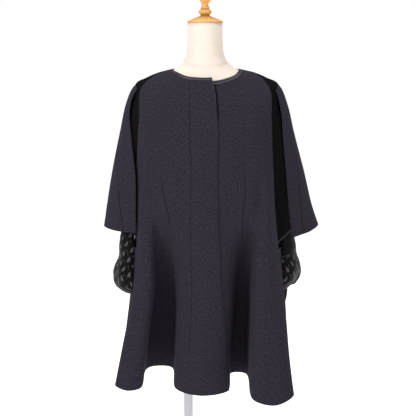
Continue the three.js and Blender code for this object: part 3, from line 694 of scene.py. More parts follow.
class Effects:
    """The shader groups that several finishes share, each built once."""

    def __init__(self) -> None:
        """Builds every group."""
        self.weave = self._weave()
        self.nap = self._nap()
        self.lint = self._lint()
        self.grain = self._grain()
        self.sprigs = self._sprigs()

    @staticmethod
    def _open(
        name: str, inputs: dict[str, float], outputs: Sequence[str]
    ) -> tuple[Graph, bpy.types.Node, bpy.types.Node]:
        """Starts a group with a Vector input, number inputs and number outputs."""
        tree = bpy.data.node_groups.new(name, "ShaderNodeTree")
        tree.interface.new_socket("Vector", in_out="INPUT", socket_type="NodeSocketVector")
        for label, value in inputs.items():
            socket = tree.interface.new_socket(label, in_out="INPUT", socket_type="NodeSocketFloat")
            socket.default_value = value
        for label in outputs:
            tree.interface.new_socket(label, in_out="OUTPUT", socket_type="NodeSocketFloat")
        graph = Graph(tree)
        return graph, graph.node("NodeGroupInput"), graph.node("NodeGroupOutput")

    def _weave(self) -> bpy.types.NodeTree:
        """Crossing threads: Threads to a metre, and Twill from plain to diagonal."""
        graph, given, made = self._open("thread_weave", {"Threads": 900.0, "Twill": 0.7}, ("Height",))
        threads = graph.math("MULTIPLY", given.outputs["Threads"], math.pi)
        parts = graph.split(given.outputs["Vector"])[:2]
        along, down = (graph.math("MULTIPLY", part, threads) for part in parts)
        plain = graph.math("MULTIPLY", graph.wave(along), graph.wave(down))
        diagonal = graph.wave(graph.math("ADD", along, down))
        share = given.outputs["Twill"]
        twilled = graph.math("MULTIPLY", diagonal, share)
        rest = graph.math("MULTIPLY", plain, graph.math("SUBTRACT", 1.0, share))
        graph.feed(made.inputs["Height"], graph.math("ADD", twilled, rest))
        return graph.tree

    def _nap(self) -> bpy.types.NodeTree:
        """Felted fibres: Tone is the heathered colour, Height the uneven pile."""
        graph, given, made = self._open("soft_nap", {"Size": 0.006}, ("Tone", "Height"))
        scale = graph.math("DIVIDE", 1.0, given.outputs["Size"])
        broad = graph.noise(given.outputs["Vector"], scale, 3.0, 0.6)
        fine = graph.noise(given.outputs["Vector"], graph.math("MULTIPLY", scale, 7.0), 4.0, 0.75)
        graph.feed(made.inputs["Tone"], graph.step(graph.blend(fine, 0.6, broad, 0.4), 0.36, 0.64))
        graph.feed(made.inputs["Height"], graph.blend(fine, 0.7, broad, 0.3))
        return graph.tree

    def _lint(self) -> bpy.types.NodeTree:
        """Sparse specks of lint and dust, Size metres apart."""
        graph, given, made = self._open("lint_specks", {"Size": 0.02, "Speck": 0.03}, ("Mask",))
        scale = graph.math("DIVIDE", 1.0, given.outputs["Size"])
        apart = graph.cells(given.outputs["Vector"], scale, "F1")
        graph.feed(made.inputs["Mask"], graph.math("LESS_THAN", apart, given.outputs["Speck"]))
        return graph.tree

    def _grain(self) -> bpy.types.NodeTree:
        """Pebbled or ringed grain: Size of a pebble, and Rings for wood."""
        graph, given, made = self._open("fine_grain", {"Size": 0.0012, "Rings": 0.0}, ("Height", "Tone"))
        where = given.outputs["Vector"]
        scale = graph.math("DIVIDE", 1.0, given.outputs["Size"])
        graph.feed(made.inputs["Height"], graph.cells(where, scale, "SMOOTH_F1"))
        bent = graph.noise(where, graph.math("MULTIPLY", scale, 0.05), 3.0, 0.5)
        turns = graph.blend(bent, 3.0, graph.split(where)[0], given.outputs["Rings"])
        graph.feed(made.inputs["Tone"], graph.blend(graph.wave(turns), 0.6, bent, 0.4))
        return graph.tree

    def _sprigs(self) -> bpy.types.NodeTree:
        """A plain half-drop print of small leaf sprigs and dots, Width by Drop metres apart."""
        graph, given, made = self._open("sprig_print", {"Width": 0.024, "Drop": 0.028}, ("Mask",))
        along, fall, _ = graph.split(given.outputs["Vector"])
        across = graph.math("DIVIDE", along, given.outputs["Width"])
        stripe = graph.math("FLOOR", across)
        half = graph.math("MULTIPLY", graph.math("FLOORED_MODULO", stripe, 2.0), 0.5)
        down = graph.math("ADD", graph.math("DIVIDE", fall, given.outputs["Drop"]), half)
        x, y = (graph.math("SUBTRACT", graph.math("FRACT", part), 0.5) for part in (across, down))
        mask: object = 0.0
        for shape in sprig_shapes():
            turn = math.radians(shape.angle)
            dx, dy = graph.math("SUBTRACT", x, shape.x), graph.math("SUBTRACT", y, shape.y)
            sides = (
                (graph.blend(dx, math.cos(turn), dy, math.sin(turn)), shape.length),
                (graph.blend(dx, -math.sin(turn), dy, math.cos(turn)), shape.width),
            )
            squares = [graph.math("POWER", graph.math("DIVIDE", side, size), 2.0) for side, size in sides]
            mask = graph.math("MAXIMUM", mask, graph.step(graph.math("ADD", *squares), *SPRIG_EDGE))
        graph.feed(made.inputs["Mask"], mask)
        return graph.tree


class Slot(Enum):
    """The record's material slots."""

    WOOL = "charcoal_wool"
    BLACK = "black_cloth"
    LINING = "lining"
    LEATHER = "black_leather"
    JERSEY = "cream_jersey"
    WOOD = "turned_wood"
    METAL = "light_metal"


@dataclass(frozen=True)
class Finish:
    """A finish: its two tones, and how its thread, nap, grain and gloss are set.

    Threads is to a metre and nap and grain are metres; 0 leaves that part out. lift is
    the depth of its relief in metres.
    """

    slot: Slot
    dark: tuple[float, float, float, float]
    light: tuple[float, float, float, float]
    roughness: float
    threads: float = 0.0
    twill: float = 0.0
    nap: float = 0.0
    grain: float = 0.0
    rings: float = 0.0
    lint: float = 0.0
    printed: bool = False
    sheen: float = 0.0
    gloss: float = 0.5
    coat: float = 0.0
    metallic: float = 0.0
    lift: float = 0.0005
    on_map: bool = True

    def material(self, effects: Effects) -> bpy.types.Material:
        """Builds the material from the shared effects.

        Args:
            effects: the shader groups.

        Returns:
            The material, named after its slot.
        """
        made = bpy.data.materials.new(self.slot.value)
        made.use_nodes = True
        graph = Graph(made.node_tree)
        if self.on_map:
            where = graph.node("ShaderNodeUVMap", uv_map="cloth").outputs[0]
        else:
            where = graph.node("ShaderNodeTexCoord").outputs["Object"]
        tone, height = self._relief(graph, effects, where)
        bump = graph.node("ShaderNodeBump", {"Strength": BUMP, "Distance": self.lift, "Height": height})
        feeds = {
            "Base Color": self._colour(graph, effects, where, tone),
            "Roughness": graph.math("MULTIPLY_ADD", tone, ROUGH_SPREAD, self.roughness - ROUGH_SPREAD / 2),
            "Metallic": self.metallic,
            "Specular IOR Level": self.gloss,
            "Sheen Weight": self.sheen,
            "Sheen Roughness": SHEEN_ROUGHNESS,
            "Sheen Tint": SHEEN_TINT,
            "Coat Weight": self.coat,
            "Normal": bump.outputs[0],
        }
        shader = graph.node("ShaderNodeBsdfPrincipled", feeds)
        graph.node("ShaderNodeOutputMaterial", {"Surface": shader.outputs[0]})
        return made

    def _colour(
        self, graph: Graph, effects: Effects, where: bpy.types.NodeSocket, tone: object
    ) -> bpy.types.NodeSocket:
        """The colour: two tones, then the print, the painted shade and painted highlight that the shade
        attribute carries, and lint.
        """
        colour = graph.mix(tone, self.dark, self.light)
        if self.printed:
            motif = self._group(graph, effects.sprigs, where).outputs["Mask"]
            shown = graph.node("ShaderNodeAttribute", attribute_name="printed").outputs["Fac"]
            colour = graph.mix(graph.math("MULTIPLY", motif, shown), colour, PRINT_GREY)
        # Painted light: a positive shade darkens the colour as painted shade, and a negative one pales it as
        # a painted highlight
        shade = graph.node("ShaderNodeAttribute", attribute_name="shade").outputs["Fac"]
        colour = graph.mix(graph.math("MAXIMUM", shade, 0.0), colour, PAINTED_SHADE_BLACK)
        painted_highlight = graph.math("MAXIMUM", graph.math("MULTIPLY", shade, -1.0), 0.0)
        colour = graph.mix(painted_highlight, colour, PAINTED_HIGHLIGHT_GREY)
        if self.lint:
            specks = self._group(graph, effects.lint, where, Size=self.lint).outputs["Mask"]
            colour = graph.mix(graph.math("MULTIPLY", specks, LINT_SHARE), colour, LINT_GREY)
        return colour

    @staticmethod
    def _group(
        graph: Graph, tree: bpy.types.NodeTree, where: bpy.types.NodeSocket, **values: float
    ) -> bpy.types.Node:
        """Places a shared group with its own values."""
        made = graph.node("ShaderNodeGroup", node_tree=tree)
        for name, value in {"Vector": where, **values}.items():
            graph.feed(made.inputs[name], value)
        return made

    def _relief(
        self, graph: Graph, effects: Effects, where: bpy.types.NodeSocket
    ) -> tuple[object, object]:
        """The tone and the height that thread, nap and grain give together."""
        tone: object = 0.5
        height: object = 0.0
        if self.threads:
            threads = self._group(graph, effects.weave, where, Threads=self.threads, Twill=self.twill)
            height = threads.outputs["Height"]
            tone = graph.math("MULTIPLY_ADD", height, 0.5, 0.2)
        if self.nap:
            nap = self._group(graph, effects.nap, where, Size=self.nap)
            tone = graph.blend(tone, 0.3, nap.outputs["Tone"], 0.7)
            height = graph.math("MULTIPLY_ADD", height, 0.4, nap.outputs["Height"])
        if self.grain:
            grain = self._group(graph, effects.grain, where, Size=self.grain, Rings=self.rings)
            height = graph.math("MULTIPLY_ADD", height, 0.3, grain.outputs["Height"])
            tone = grain.outputs["Tone"]
        return tone, height


PRINT_GREY = srgb(104, 104, 110)
LINT_GREY = srgb(120, 120, 124)
# Colours of the painted shade and of the painted highlight
PAINTED_SHADE_BLACK = srgb(8, 8, 10)
PAINTED_HIGHLIGHT_GREY = srgb(128, 128, 136)
SHEEN_TINT = srgb(200, 200, 215)
SHEEN_ROUGHNESS = 0.45
LINT_SHARE = 0.35

# Strength of all relief, and how far roughness varies with the tone
BUMP = 0.6
ROUGH_SPREAD = 0.08

FINISHES = (
    Finish(Slot.WOOL, srgb(12, 11, 14), srgb(59, 55, 66), 0.95, threads=620, twill=0.8, nap=0.0045,
           sheen=0.03, gloss=0.05, lift=0.0003),
    Finish(Slot.BLACK, srgb(6, 6, 7), srgb(14, 14, 15), 0.9, threads=1400, twill=0.2, nap=0.01,
           lint=0.05, gloss=0.05, lift=0.0003),
    Finish(Slot.LINING, srgb(4, 4, 5), srgb(11, 11, 12), 0.55, threads=1800, twill=0.5, nap=0.02,
           printed=True, gloss=0.08, lift=0.0002),
    Finish(Slot.LEATHER, srgb(10, 10, 12), srgb(26, 26, 29), 0.4, grain=0.0011, gloss=0.3, lift=0.0003),
    Finish(Slot.JERSEY, srgb(222, 207, 195), srgb(235, 220, 208), 0.85, threads=900, twill=0.1, nap=0.012,
           sheen=0.1, lift=0.0003, on_map=False),
    Finish(Slot.WOOD, srgb(200, 138, 66), srgb(230, 176, 100), 0.42, grain=0.003, rings=520, coat=0.25,
           lift=0.0002, on_map=False),
    Finish(Slot.METAL, srgb(168, 168, 176), srgb(186, 186, 193), 0.34, grain=0.004, coat=0.2, metallic=0.35,
           lift=0.00008, on_map=False),
)


class Hold(Enum):
    """How a sheet of cloth is held."""

    HUNG = "hung"
    DRAPED = "draped"
    STRETCHED = "stretched"


@dataclass(frozen=True)
class Cut:
    """The flat cut of a sheet in metres, and what carries it."""

    width: float
    length: float
    held: Hold
    rests_on: tuple[str, ...]
    area: float | None = None


class Wardrobe:
    """Gives each finished piece the material of its slot and its body, and hides the imported nodes that it
    stands for.
    """

    def __init__(self) -> None:
        """Builds every material."""
        effects = Effects()
        self.materials = {finish.slot: finish.material(effects) for finish in FINISHES}

    def dress(
        self, piece: bpy.types.Object, slot: Slot, nodes: Sequence[str] = (), cut: Cut | None = None
    ) -> bpy.types.Object:
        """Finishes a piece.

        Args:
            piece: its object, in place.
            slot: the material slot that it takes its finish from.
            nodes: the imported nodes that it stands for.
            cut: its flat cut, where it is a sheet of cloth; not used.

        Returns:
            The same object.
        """
        piece.data.materials.clear()
        piece.data.materials.append(self.materials[slot])
        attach(piece, BODY)
        if nodes:
            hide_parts(*nodes)
        LOG.info("%s: %d faces", piece.name, len(piece.data.polygons))
        return piece


EDGE_ROWS = (0.0, 3.0, 6.0, 9.0, 12.0)
EDGE_PLACES = (0.44, 0.38, 0.41, 0.57, 1.06)


def edge_place(rows: np.ndarray) -> np.ndarray:
    """The place of the over front's edge at each row."""
    return np.interp(rows, EDGE_ROWS, EDGE_PLACES)


def overlap_lift(places: np.ndarray, rows: np.ndarray) -> np.ndarray:
    """How far the over front stands off the coat's plain face, rising to the overlap."""
    edge = edge_place(rows)[:, None]
    apart = np.linalg.norm(COAT.grid(places, rows) - COAT.grid(edge, rows), axis=-1)
    rise = 1.0 - smoothstep(apart, OVERLAP, OVERLAP + LIFT_RAMP)
    return OVERLAP_LIFT * np.where(places > edge, 1.0, rise)


@dataclass(frozen=True)
class Stitching:
    """A way of stitching: metres from one stitch to the next, and the size of one."""

    spacing: float
    length: float
    thickness: float

    def run(
        self, name: str, points: np.ndarray, up: np.ndarray, thread: bpy.types.Material
    ) -> bpy.types.Object:
        """Sets stitches along a line.

        Args:
            name: the piece's name.
            points: the line, in millimetres.
            up: the direction off the cloth at each point.
            thread: the thread's material.

        Returns:
            The stitches as one plain mesh.
        """
        mesh = bpy.data.meshes.new(name)
        mesh.from_pydata((points * MM).tolist(), [(k, k + 1) for k in range(len(points) - 1)], [])
        layer = mesh.attributes.new("up", "FLOAT_VECTOR", "POINT")
        layer.data.foreach_set("vector", up.astype(np.float32).ravel())
        piece = linked(name, mesh)
        modifier = piece.modifiers.new("stitch_run", "NODES")
        modifier.node_group = stitch_tree()
        sizes = {"Spacing": self.spacing, "Length": self.length, "Thickness": self.thickness}
        wanted = {**sizes, "Thread": thread}
        for socket in modifier.node_group.interface.items_tree:
            if socket.name in wanted:
                modifier[socket.identifier] = wanted[socket.name]
        bake_modifiers(piece)
        piece.data.shade_smooth()
        return piece


# Inputs of the stitches' tree, and the least and greatest share of its length that a stitch has
STITCH_INPUTS = (
    ("Line", "Geometry", None),
    ("Spacing", "Float", 0.003),
    ("Length", "Float", 0.002),
    ("Thickness", "Float", 0.0005),
    ("Seed", "Int", 11),
    ("Thread", "Material", None),
)
STITCH_UNEVEN = (0.85, 1.1)


def stitch_tree() -> bpy.types.NodeTree:
    """The tree that sets stitches along a line of edges, with up as the way off the cloth."""
    made = bpy.data.node_groups.get("stitch_run")
    if made is not None:
        return made
    tree = bpy.data.node_groups.new("stitch_run", "GeometryNodeTree")
    for label, kind, value in STITCH_INPUTS:
        socket = tree.interface.new_socket(label, in_out="INPUT", socket_type=f"NodeSocket{kind}")
        if value is not None:
            socket.default_value = value
    tree.interface.new_socket("Stitches", in_out="OUTPUT", socket_type="NodeSocketGeometry")
    graph = Graph(tree)
    given = graph.node("NodeGroupInput").outputs
    line = graph.node("GeometryNodeMeshToCurve", {"Mesh": given["Line"]})
    feeds = {"Curve": line.outputs["Curve"], "Length": given["Spacing"]}
    even = graph.node("GeometryNodeResampleCurve", feeds, mode="LENGTH")
    bead = graph.node("GeometryNodeMeshUVSphere", {"Segments": 6, "Rings": 4, "Radius": 0.5})
    up = graph.node("GeometryNodeInputNamedAttribute", {"Name": "up"}, data_type="FLOAT_VECTOR")
    tangent = graph.node("GeometryNodeInputTangent").outputs[0]
    along = graph.node("FunctionNodeAlignRotationToVector", {"Vector": tangent}, axis="X")
    feeds = {"Rotation": along.outputs[0], "Vector": up.outputs["Attribute"]}
    level = graph.node("FunctionNodeAlignRotationToVector", feeds, axis="Z", pivot_axis="X")
    feeds = {2: STITCH_UNEVEN[0], 3: STITCH_UNEVEN[1], "Seed": given["Seed"]}
    uneven = graph.node("FunctionNodeRandomValue", feeds, data_type="FLOAT")
    length = graph.math("MULTIPLY", given["Length"], uneven.outputs[1])
    size = graph.node("ShaderNodeCombineXYZ", {0: length, 1: given["Thickness"], 2: given["Thickness"]})
    feeds = {
        "Points": even.outputs["Curve"], "Instance": bead.outputs["Mesh"],
        "Rotation": level.outputs[0], "Scale": size.outputs[0],
    }
    placed = graph.node("GeometryNodeInstanceOnPoints", feeds)
    real = graph.node("GeometryNodeRealizeInstances", {"Geometry": placed.outputs["Instances"]})
    feeds = {"Geometry": real.outputs["Geometry"], "Material": given["Thread"]}
    painted = graph.node("GeometryNodeSetMaterial", feeds)
    graph.node("NodeGroupOutput", {"Stitches": painted.outputs["Geometry"]})
    return tree


TOPSTITCH = Stitching(spacing=0.0032, length=0.0024, thickness=0.0006)
BINDING_STITCH = Stitching(spacing=0.0028, length=0.0020, thickness=0.0005)
FORM_SEAM = Stitching(spacing=0.0016, length=0.0028, thickness=0.0012)


def above_chest(rows: np.ndarray) -> np.ndarray:
    """How much of a change at the neckline is left at each row."""
    return (1.0 - smoothstep(rows, 0.0, NECK_FADE_ROW))[:, None]


def level(places: np.ndarray, rows: np.ndarray) -> np.ndarray:
    """The rows of a panel that keeps to the coat's own, whatever the places."""
    return rows


def dropped(places: np.ndarray, rows: np.ndarray) -> np.ndarray:
    """The row of each point of the under front, which hangs lower round the neck."""
    across = 1.0 - smoothstep(places, *NECK_DROP_PLACES)
    return rows[:, None] + NECK_DROP * across * above_chest(rows)


def dipped(places: np.ndarray, rows: np.ndarray) -> np.ndarray:
    """The row of each point of the over front, whose neckline dips beside its edge."""
    return rows[:, None] + NECK_DIP * bell(places - NECK_DIP_PLACE, NECK_DIP_WIDTH) * above_chest(rows)


# The pressed line above a hem, in millimetres
HEM_LINE = 0.35
HEM_LINE_WIDTH = 1.6

# How far the free edge below the neck stands off and how far in that shows, with its head and length in rows
STAND_OFF = 3.5
STAND_OFF_WIDTH = 20.0
STAND_OFF_HEAD = 0.2
STAND_OFF_ROWS = 2.4


# A function of the places and rows of a grid
Lie = Callable[[np.ndarray, np.ndarray], np.ndarray]


@dataclass(frozen=True)
class Panel:
    """A panel on the coat's face, between lines, from one row to another."""

    name: str
    lines: tuple[Line, ...]
    head: float = BINDING_ROW
    foot: float = HEM_ROW
    over: bool = False
    lie: Lie = level
    thick: float = WOOL
    hem_fold: float = 38.0

    def build(self, holds: Lie | None = None) -> bpy.types.Object:
        """Makes the panel.

        Args:
            holds: says which of its cells exist, from their places and rows.

        Returns:
            The panel's object.
        """
        rows = coat_rows(self.head, self.foot)
        columns = panel_columns(rows, self.lines)
        places = columns.places
        lies = self.lie(places, rows)
        face = COAT.grid(places, lies)
        lift = relief(places, rows) - columns.groove
        to_hem = np.linalg.norm(face - COAT.grid(places, np.full(len(rows), self.foot)), axis=-1)
        lift -= HEM_LINE * bell(to_hem - self.hem_fold, HEM_LINE_WIDTH)
        if self.over:
            lift += overlap_lift(places, rows) + self._stand_off(places, rows)
        rim = RIM * np.maximum(columns.rim[None, :], foot_rim(rows)[:, None])
        out = COAT.outward(places, lies)
        outer = face + out * (lift - rim)[..., None]
        inner = face + out * (lift + rim - self.thick)[..., None]
        cells = None
        if holds is not None:
            cells = holds((places[:-1, :-1] + places[:-1, 1:]) / 2, rows[:-1, None])
        return cloth_wall(self.name, outer, inner, holds=cells, marks={"shade": columns.shade})

    @staticmethod
    def _stand_off(places: np.ndarray, rows: np.ndarray) -> np.ndarray:
        """How the free edge below the neck stands away from the under front."""
        edge = edge_place(rows)
        apart = (edge[:, None] - places) * COAT.span(edge, rows)[:, None]
        along = np.sin(math.pi * np.clip((rows - STAND_OFF_HEAD) / STAND_OFF_ROWS, 0.0, 1.0)) ** 1.5
        return STAND_OFF * along[:, None] * bell(apart, STAND_OFF_WIDTH)


def fixed(place: float) -> Callable[[np.ndarray], np.ndarray]:
    """A line that keeps to one place."""
    return lambda rows: np.full(len(rows), place)


def through(rows_at: Sequence[float], places_at: Sequence[float]) -> Callable[[np.ndarray], np.ndarray]:
    """A line through a few named rows and places."""
    return lambda rows: smooth_read(rows_at, places_at, rows)


# Outer edge of each front, which is the side seam below the underarm
FRONT_SIDE_LEFT = ((0, 2, 3, 4, 5, 6, 7, 8), (6, 5.8, 5.45, 5.36, 5.63, 5.82, 5.95, 6))
FRONT_SIDE_RIGHT = ((0, 3, 4, 5, 6, 7, 8), (6, 5.86, 5.64, 5.98, 6.15, 6.12, 6))


def front_side(side: int, rows: np.ndarray) -> np.ndarray:
    """How far round from the front each front reaches at each row."""
    return smooth_read(*(FRONT_SIDE_LEFT if side > 0 else FRONT_SIDE_RIGHT), rows)


def side_seam(side: int) -> Callable[[np.ndarray], np.ndarray]:
    """The line of a front's outer edge, a seam gap inside it."""
    return lambda rows: COAT.moved(side * front_side(side, rows), rows, -side * SEAM_GAP)


def under_edge(rows: np.ndarray) -> np.ndarray:
    """The hidden edge of the under front, below the over front."""
    return COAT.moved(edge_place(rows), rows, -UNDER_REACH)


def wedge_place(rows: np.ndarray) -> np.ndarray:
    """The line of painted shadow on the under front, in the gap beside the over front's edge below the neck.
    """
    return COAT.moved(edge_place(rows), rows, WEDGE)


# Lines that show on the fronts: the placket's stitch line, and the darts that open the flutes
PLACKET = through((0.2, 1.0, 2.2, 4.3, 7.6, 9.4), (-1.15, -0.90, -0.62, -0.48, -0.49, -0.50))
DART_RIGHT = through((5.4, 5.76, 6.12, 6.5, 6.82, 7.2), (-2.9, -2.6, -2.3, -1.94, -1.66, -1.62))
DART_LEFT = through((5.4, 5.72, 6.14, 6.86, 7.38, 7.84), (2.05, 2.16, 2.32, 1.86, 1.92, 2.18))


# Rows of the placket's stitches, how many points their line has, and how deep they lie
PLACKET_ROWS = (0.32, 11.7)
PLACKET_POINTS = 400
PLACKET_DEPTH = 0.35

# What carries the coat's body
ON_FORM = ("neck_binding_leather", "form_torso_jersey")


@dataclass(frozen=True)
class Ripple:
    """A soft ridge along a piece: its middle and width as shares of the way over, and its height."""

    centre: float
    width: float
    height: float

    def relief(self, shares: np.ndarray) -> np.ndarray:
        """Its height at each share."""
        return self.height * bell(shares - self.centre, self.width)


# The leather binding over its width: its roll, the painted highlight along its lit foot, where it is sewn
# and how round its edges are
# Its grid has points over the width and along it, and the points at both ends that have no stitches
BINDING_ROLL = (Ripple(0.84, 0.09, 0.5), Ripple(0.68, 0.07, -0.5))
BINDING_LIT = Ripple(0.96, 0.07, -0.75)
BINDING_SEAM = 0.7
BINDING_CROWN = 0.9
BINDING_GRID = (11, 260)
BINDING_BARE = 4


@dataclass(frozen=True)
class Coat:
    """The coat's body: two fronts, the back, and the leather round its neck."""

    wardrobe: Wardrobe

    def build(self) -> None:
        """Makes and dresses the body of the coat."""
        self._fronts()
        self._back()
        self._binding()

    def _fronts(self) -> None:
        """The over front and the under front."""
        over = Panel(
            "front_right_cloth",
            (
                Line(side_seam(-1)),
                # Painted shade in the dart's and the placket's grooves, and a painted highlight along the
                # edge below the neck
                Line(DART_RIGHT, groove=1.8, shade=0.5, head=5.6, foot=7.5),
                Line(PLACKET, groove=0.6, shade=0.45, head=0.2, foot=11.0),
                Line(edge_place, shade=-0.3, head=0.0, foot=2.1),
            ),
            over=True,
            lie=dipped,
        )
        cut = Cut(0.50, 0.90, Hold.DRAPED, ON_FORM, area=0.315)
        self.wardrobe.dress(over.build(), Slot.WOOL, ("front_right",), cut)
        rows = np.linspace(*PLACKET_ROWS, PLACKET_POINTS)
        places = PLACKET(rows)[:, None]
        lift = relief(places, rows) + overlap_lift(places, rows) - PLACKET_DEPTH
        out = COAT.outward(places, rows)
        line = COAT.grid(places, rows) + out * lift[..., None]
        thread = self.wardrobe.materials[Slot.BLACK]
        sewn = TOPSTITCH.run("placket_stitches", line[:, 0], out[:, 0], thread)
        self.wardrobe.dress(sewn, Slot.BLACK)
        under = Panel(
            "front_left_cloth",
            (
                Line(under_edge),
                # Painted shadow in the gap beside the over front's edge, and painted shade in the dart's
                # groove
                Line(wedge_place, shade=0.85, head=-0.3, foot=2.7, wide=2.6),
                Line(DART_LEFT, groove=1.6, shade=0.45, head=5.5, foot=8.0),
                Line(side_seam(1)),
            ),
            lie=dropped,
        )
        cut = Cut(0.46, 0.90, Hold.DRAPED, ON_FORM, area=0.285)
        self.wardrobe.dress(under.build(), Slot.WOOL, ("front_left",), cut)

    def _back(self) -> None:
        """The back, cut away at both armholes above the underarms."""

        def holds(places: np.ndarray, rows: np.ndarray) -> np.ndarray:
            """Whether each cell exists."""
            from_front = np.minimum(places, ROUND - places)
            foot = np.where(from_front > BACK_UNDERARM_PLACE, BACK_UNDERARM_ROW, UNDERARM_ROW)
            return (from_front > BACK_SEAM_PLACE) | (rows >= foot - TINY)

        back = Panel(
            "back_cloth",
            (
                Line(fixed(SEAM_PLACE)),
                Line(fixed(BACK_SEAM_PLACE)),
                # Painted shade in the middle back seam's groove
                Line(fixed(ROUND / 2), groove=1.1, shade=0.6),
                Line(fixed(ROUND - BACK_SEAM_PLACE)),
                Line(fixed(ROUND - SEAM_PLACE)),
            ),
        )
        cut = Cut(1.05, 0.90, Hold.DRAPED, ON_FORM, area=0.67)
        self.wardrobe.dress(back.build(holds), Slot.WOOL, ("back",), cut)

    def _binding(self) -> None:
        """The rolled leather binding, from the over front's edge round the neck to under it."""
        count, width = BINDING_GRID
        shares = np.linspace(0.0, 1.0, count)
        rows = shares * BINDING_FOOT
        start = COAT.moved(edge_place(rows[:1]), rows[:1], -BINDING_REACH)[0]
        stop = ROUND + EDGE_PLACES[0]
        places = np.linspace(start, stop, width)[None, :].repeat(count, axis=0)
        is_over = places > ROUND / 2
        over = np.where(is_over, overlap_lift(places - ROUND, rows), 0.0)
        crown = BINDING_CROWN * np.abs(2 * shares - 1) ** 3
        roll = sum(ripple.relief(shares) for ripple in BINDING_ROLL)
        lies = np.where(is_over, dipped(places - ROUND, rows), dropped(places, rows))
        out = COAT.outward(places, lies)
        face = COAT.grid(places, lies)
        proud = (LEATHER - WOOL) / 2
        outer = face + out * (over + proud + (roll - crown)[:, None])[..., None]
        inner = face + out * (over + proud - LEATHER + crown[:, None])[..., None]
        seam = int(np.argmin(np.abs(shares - BINDING_SEAM)))
        thread = self.wardrobe.materials[Slot.LEATHER]
        inside = slice(BINDING_BARE, -BINDING_BARE)
        sewn = BINDING_STITCH.run("binding_stitches", outer[seam, inside], out[seam, inside], thread)
        self.wardrobe.dress(sewn, Slot.LEATHER)
        # A painted highlight along the binding's foot
        shade = BINDING_LIT.relief(shares)[:, None].repeat(width, axis=1)
        wall = cloth_wall("neck_binding_leather", outer, inner, marks={"shade": shade})
        under = ("front_right_cloth", "front_left_cloth", "back_cloth")
        cut = Cut(0.012, 0.52, Hold.STRETCHED, under, area=0.0056)
        self.wardrobe.dress(wall, Slot.LEATHER, ("neck_binding",), cut)


@dataclass(frozen=True)
class SleeveRow:
    """A row of a cape sleeve: its free edge's place and lift, its outer bulge and its drop."""

    row: float
    edge: float
    edge_lift: float
    bulge: float
    drop: float


@dataclass(frozen=True)
class LiningRow:
    """A row of an inner sleeve: the places of its two folds, and how far it stands out."""

    row: float
    front: float
    back: float
    lift: float


# The cape sleeve: its foot, how round its fold is, and the rows where its seam's share is given
SLEEVE_FOOT = 7.49
SLEEVE_FOLD_POWER = 1.35
SLEEVE_SEAM_ROWS = (3.0, 5.0, 6.0, 7.0, SLEEVE_FOOT)
SLEEVE_RIPPLE_ROW = SHOULDER_ROW + 0.6

# Its columns as shares of the way round: at its edges, at its seam, and how many lie between
SLEEVE_EDGE_SHARES = (0.0, 0.0016, 0.0045)
SLEEVE_SEAM_SHARE = 0.4
SLEEVE_SEAM_COLUMNS = (-0.008, -0.0035, -0.0015, 0.0, 0.0015, 0.0035, 0.008)
SLEEVE_FRONT_COLUMNS = 32
SLEEVE_BACK_COLUMNS = 36

# Its seam's groove: width as a share, depth in millimetres, painted shade, and the rows where it comes in
SLEEVE_SEAM_WIDTH = 0.0045
SLEEVE_SEAM_DEPTH = 1.3
SLEEVE_SEAM_SHADE = 0.8
SLEEVE_SEAM_COME = (3.4, 3.9)

# The inner sleeve: its seat under the cape sleeve, the rows where it leaves it, and how full it is
LINING_SEAT = -2.1
LINING_LEAVE = (7.0, 7.45)
LINING_ARCH = 0.8
LINING_GRID = (120, 97)

# Its crush in millimetres, the rows over which that grows, and the painted highlight of its facing seam's
# lit line
LINING_CRUSH = 1.6
LINING_CRUSH_ROWS = (7.2, 8.2)
FACING_SHADE = -0.15
FACING_WIDTH = 0.9
PRINT_EDGE = 0.5

# How far round the black inset reaches at least, by row, and how it lies under the edges
INSET_LAP = 7.0
INSET_DEPTH = WOOL + 0.9
INSET_RISE = 4.0
INSET_CLEAR = 2.4
INSET_FAR = ((0.0, 3.0, 3.5, 4.0, 5.0), (9.02, 9.02, 8.2, 6.9, 6.5))
INSET_OVER_FRONT = 0.35
INSET_SAG = 1.2
INSET_ROWS = (34, 76)
INSET_COLUMNS = 41

# Millimetres to a row of the coat below the underarm
COAT_ROW = 95.0

LEFT_SLEEVE = (
    SleeveRow(3, 6.2, 0, 0, 0),
    SleeveRow(4, 6.35, 8, 14, 0),
    SleeveRow(5, 6.4, 17, 33, 2),
    SleeveRow(6, 6.5, 25, 57, 6),
    SleeveRow(7, 6.6, 31, 80, 16),
    SleeveRow(SLEEVE_FOOT, 6.62, 35.5, 94, 27),
)
RIGHT_SLEEVE = (
    SleeveRow(3, 6.4, 0, 0, 0),
    SleeveRow(4, 6.75, 8, 14, 0),
    SleeveRow(5, 6.4, 10, 32, 0),
    SleeveRow(6, 5.8, 10, 51, 0),
    SleeveRow(7, 5.65, 9, 67, 1),
    SleeveRow(SLEEVE_FOOT, 5.62, 8, 74, 3),
)
LEFT_LINING = (
    LiningRow(6.8, 6.5, 8.3, 9),
    LiningRow(7.6, 6.46, 8.4, 32),
    LiningRow(8.3, 6.4, 8.4, 44),
    LiningRow(8.9, 6.36, 8.3, 51),
    LiningRow(9.15, 6.46, 8.15, 41),
    LiningRow(9.32, 6.64, 7.95, 25),
)
RIGHT_LINING = (
    LiningRow(6.8, 6.5, 8.3, 8),
    LiningRow(7.6, 6.42, 8.4, 28),
    LiningRow(8.4, 6.22, 8.4, 42),
    LiningRow(9.1, 6.2, 8.3, 58),
    LiningRow(9.32, 6.3, 8.15, 54),
    LiningRow(9.48, 6.5, 7.95, 36),
)


def table_read(table: Sequence[object], name: str, rows: np.ndarray) -> np.ndarray:
    """A column of a table whose lines name their own row."""
    at, values = ([getattr(line, field) for line in table] for field in ("row", name))
    return smooth_read(at, values, rows)


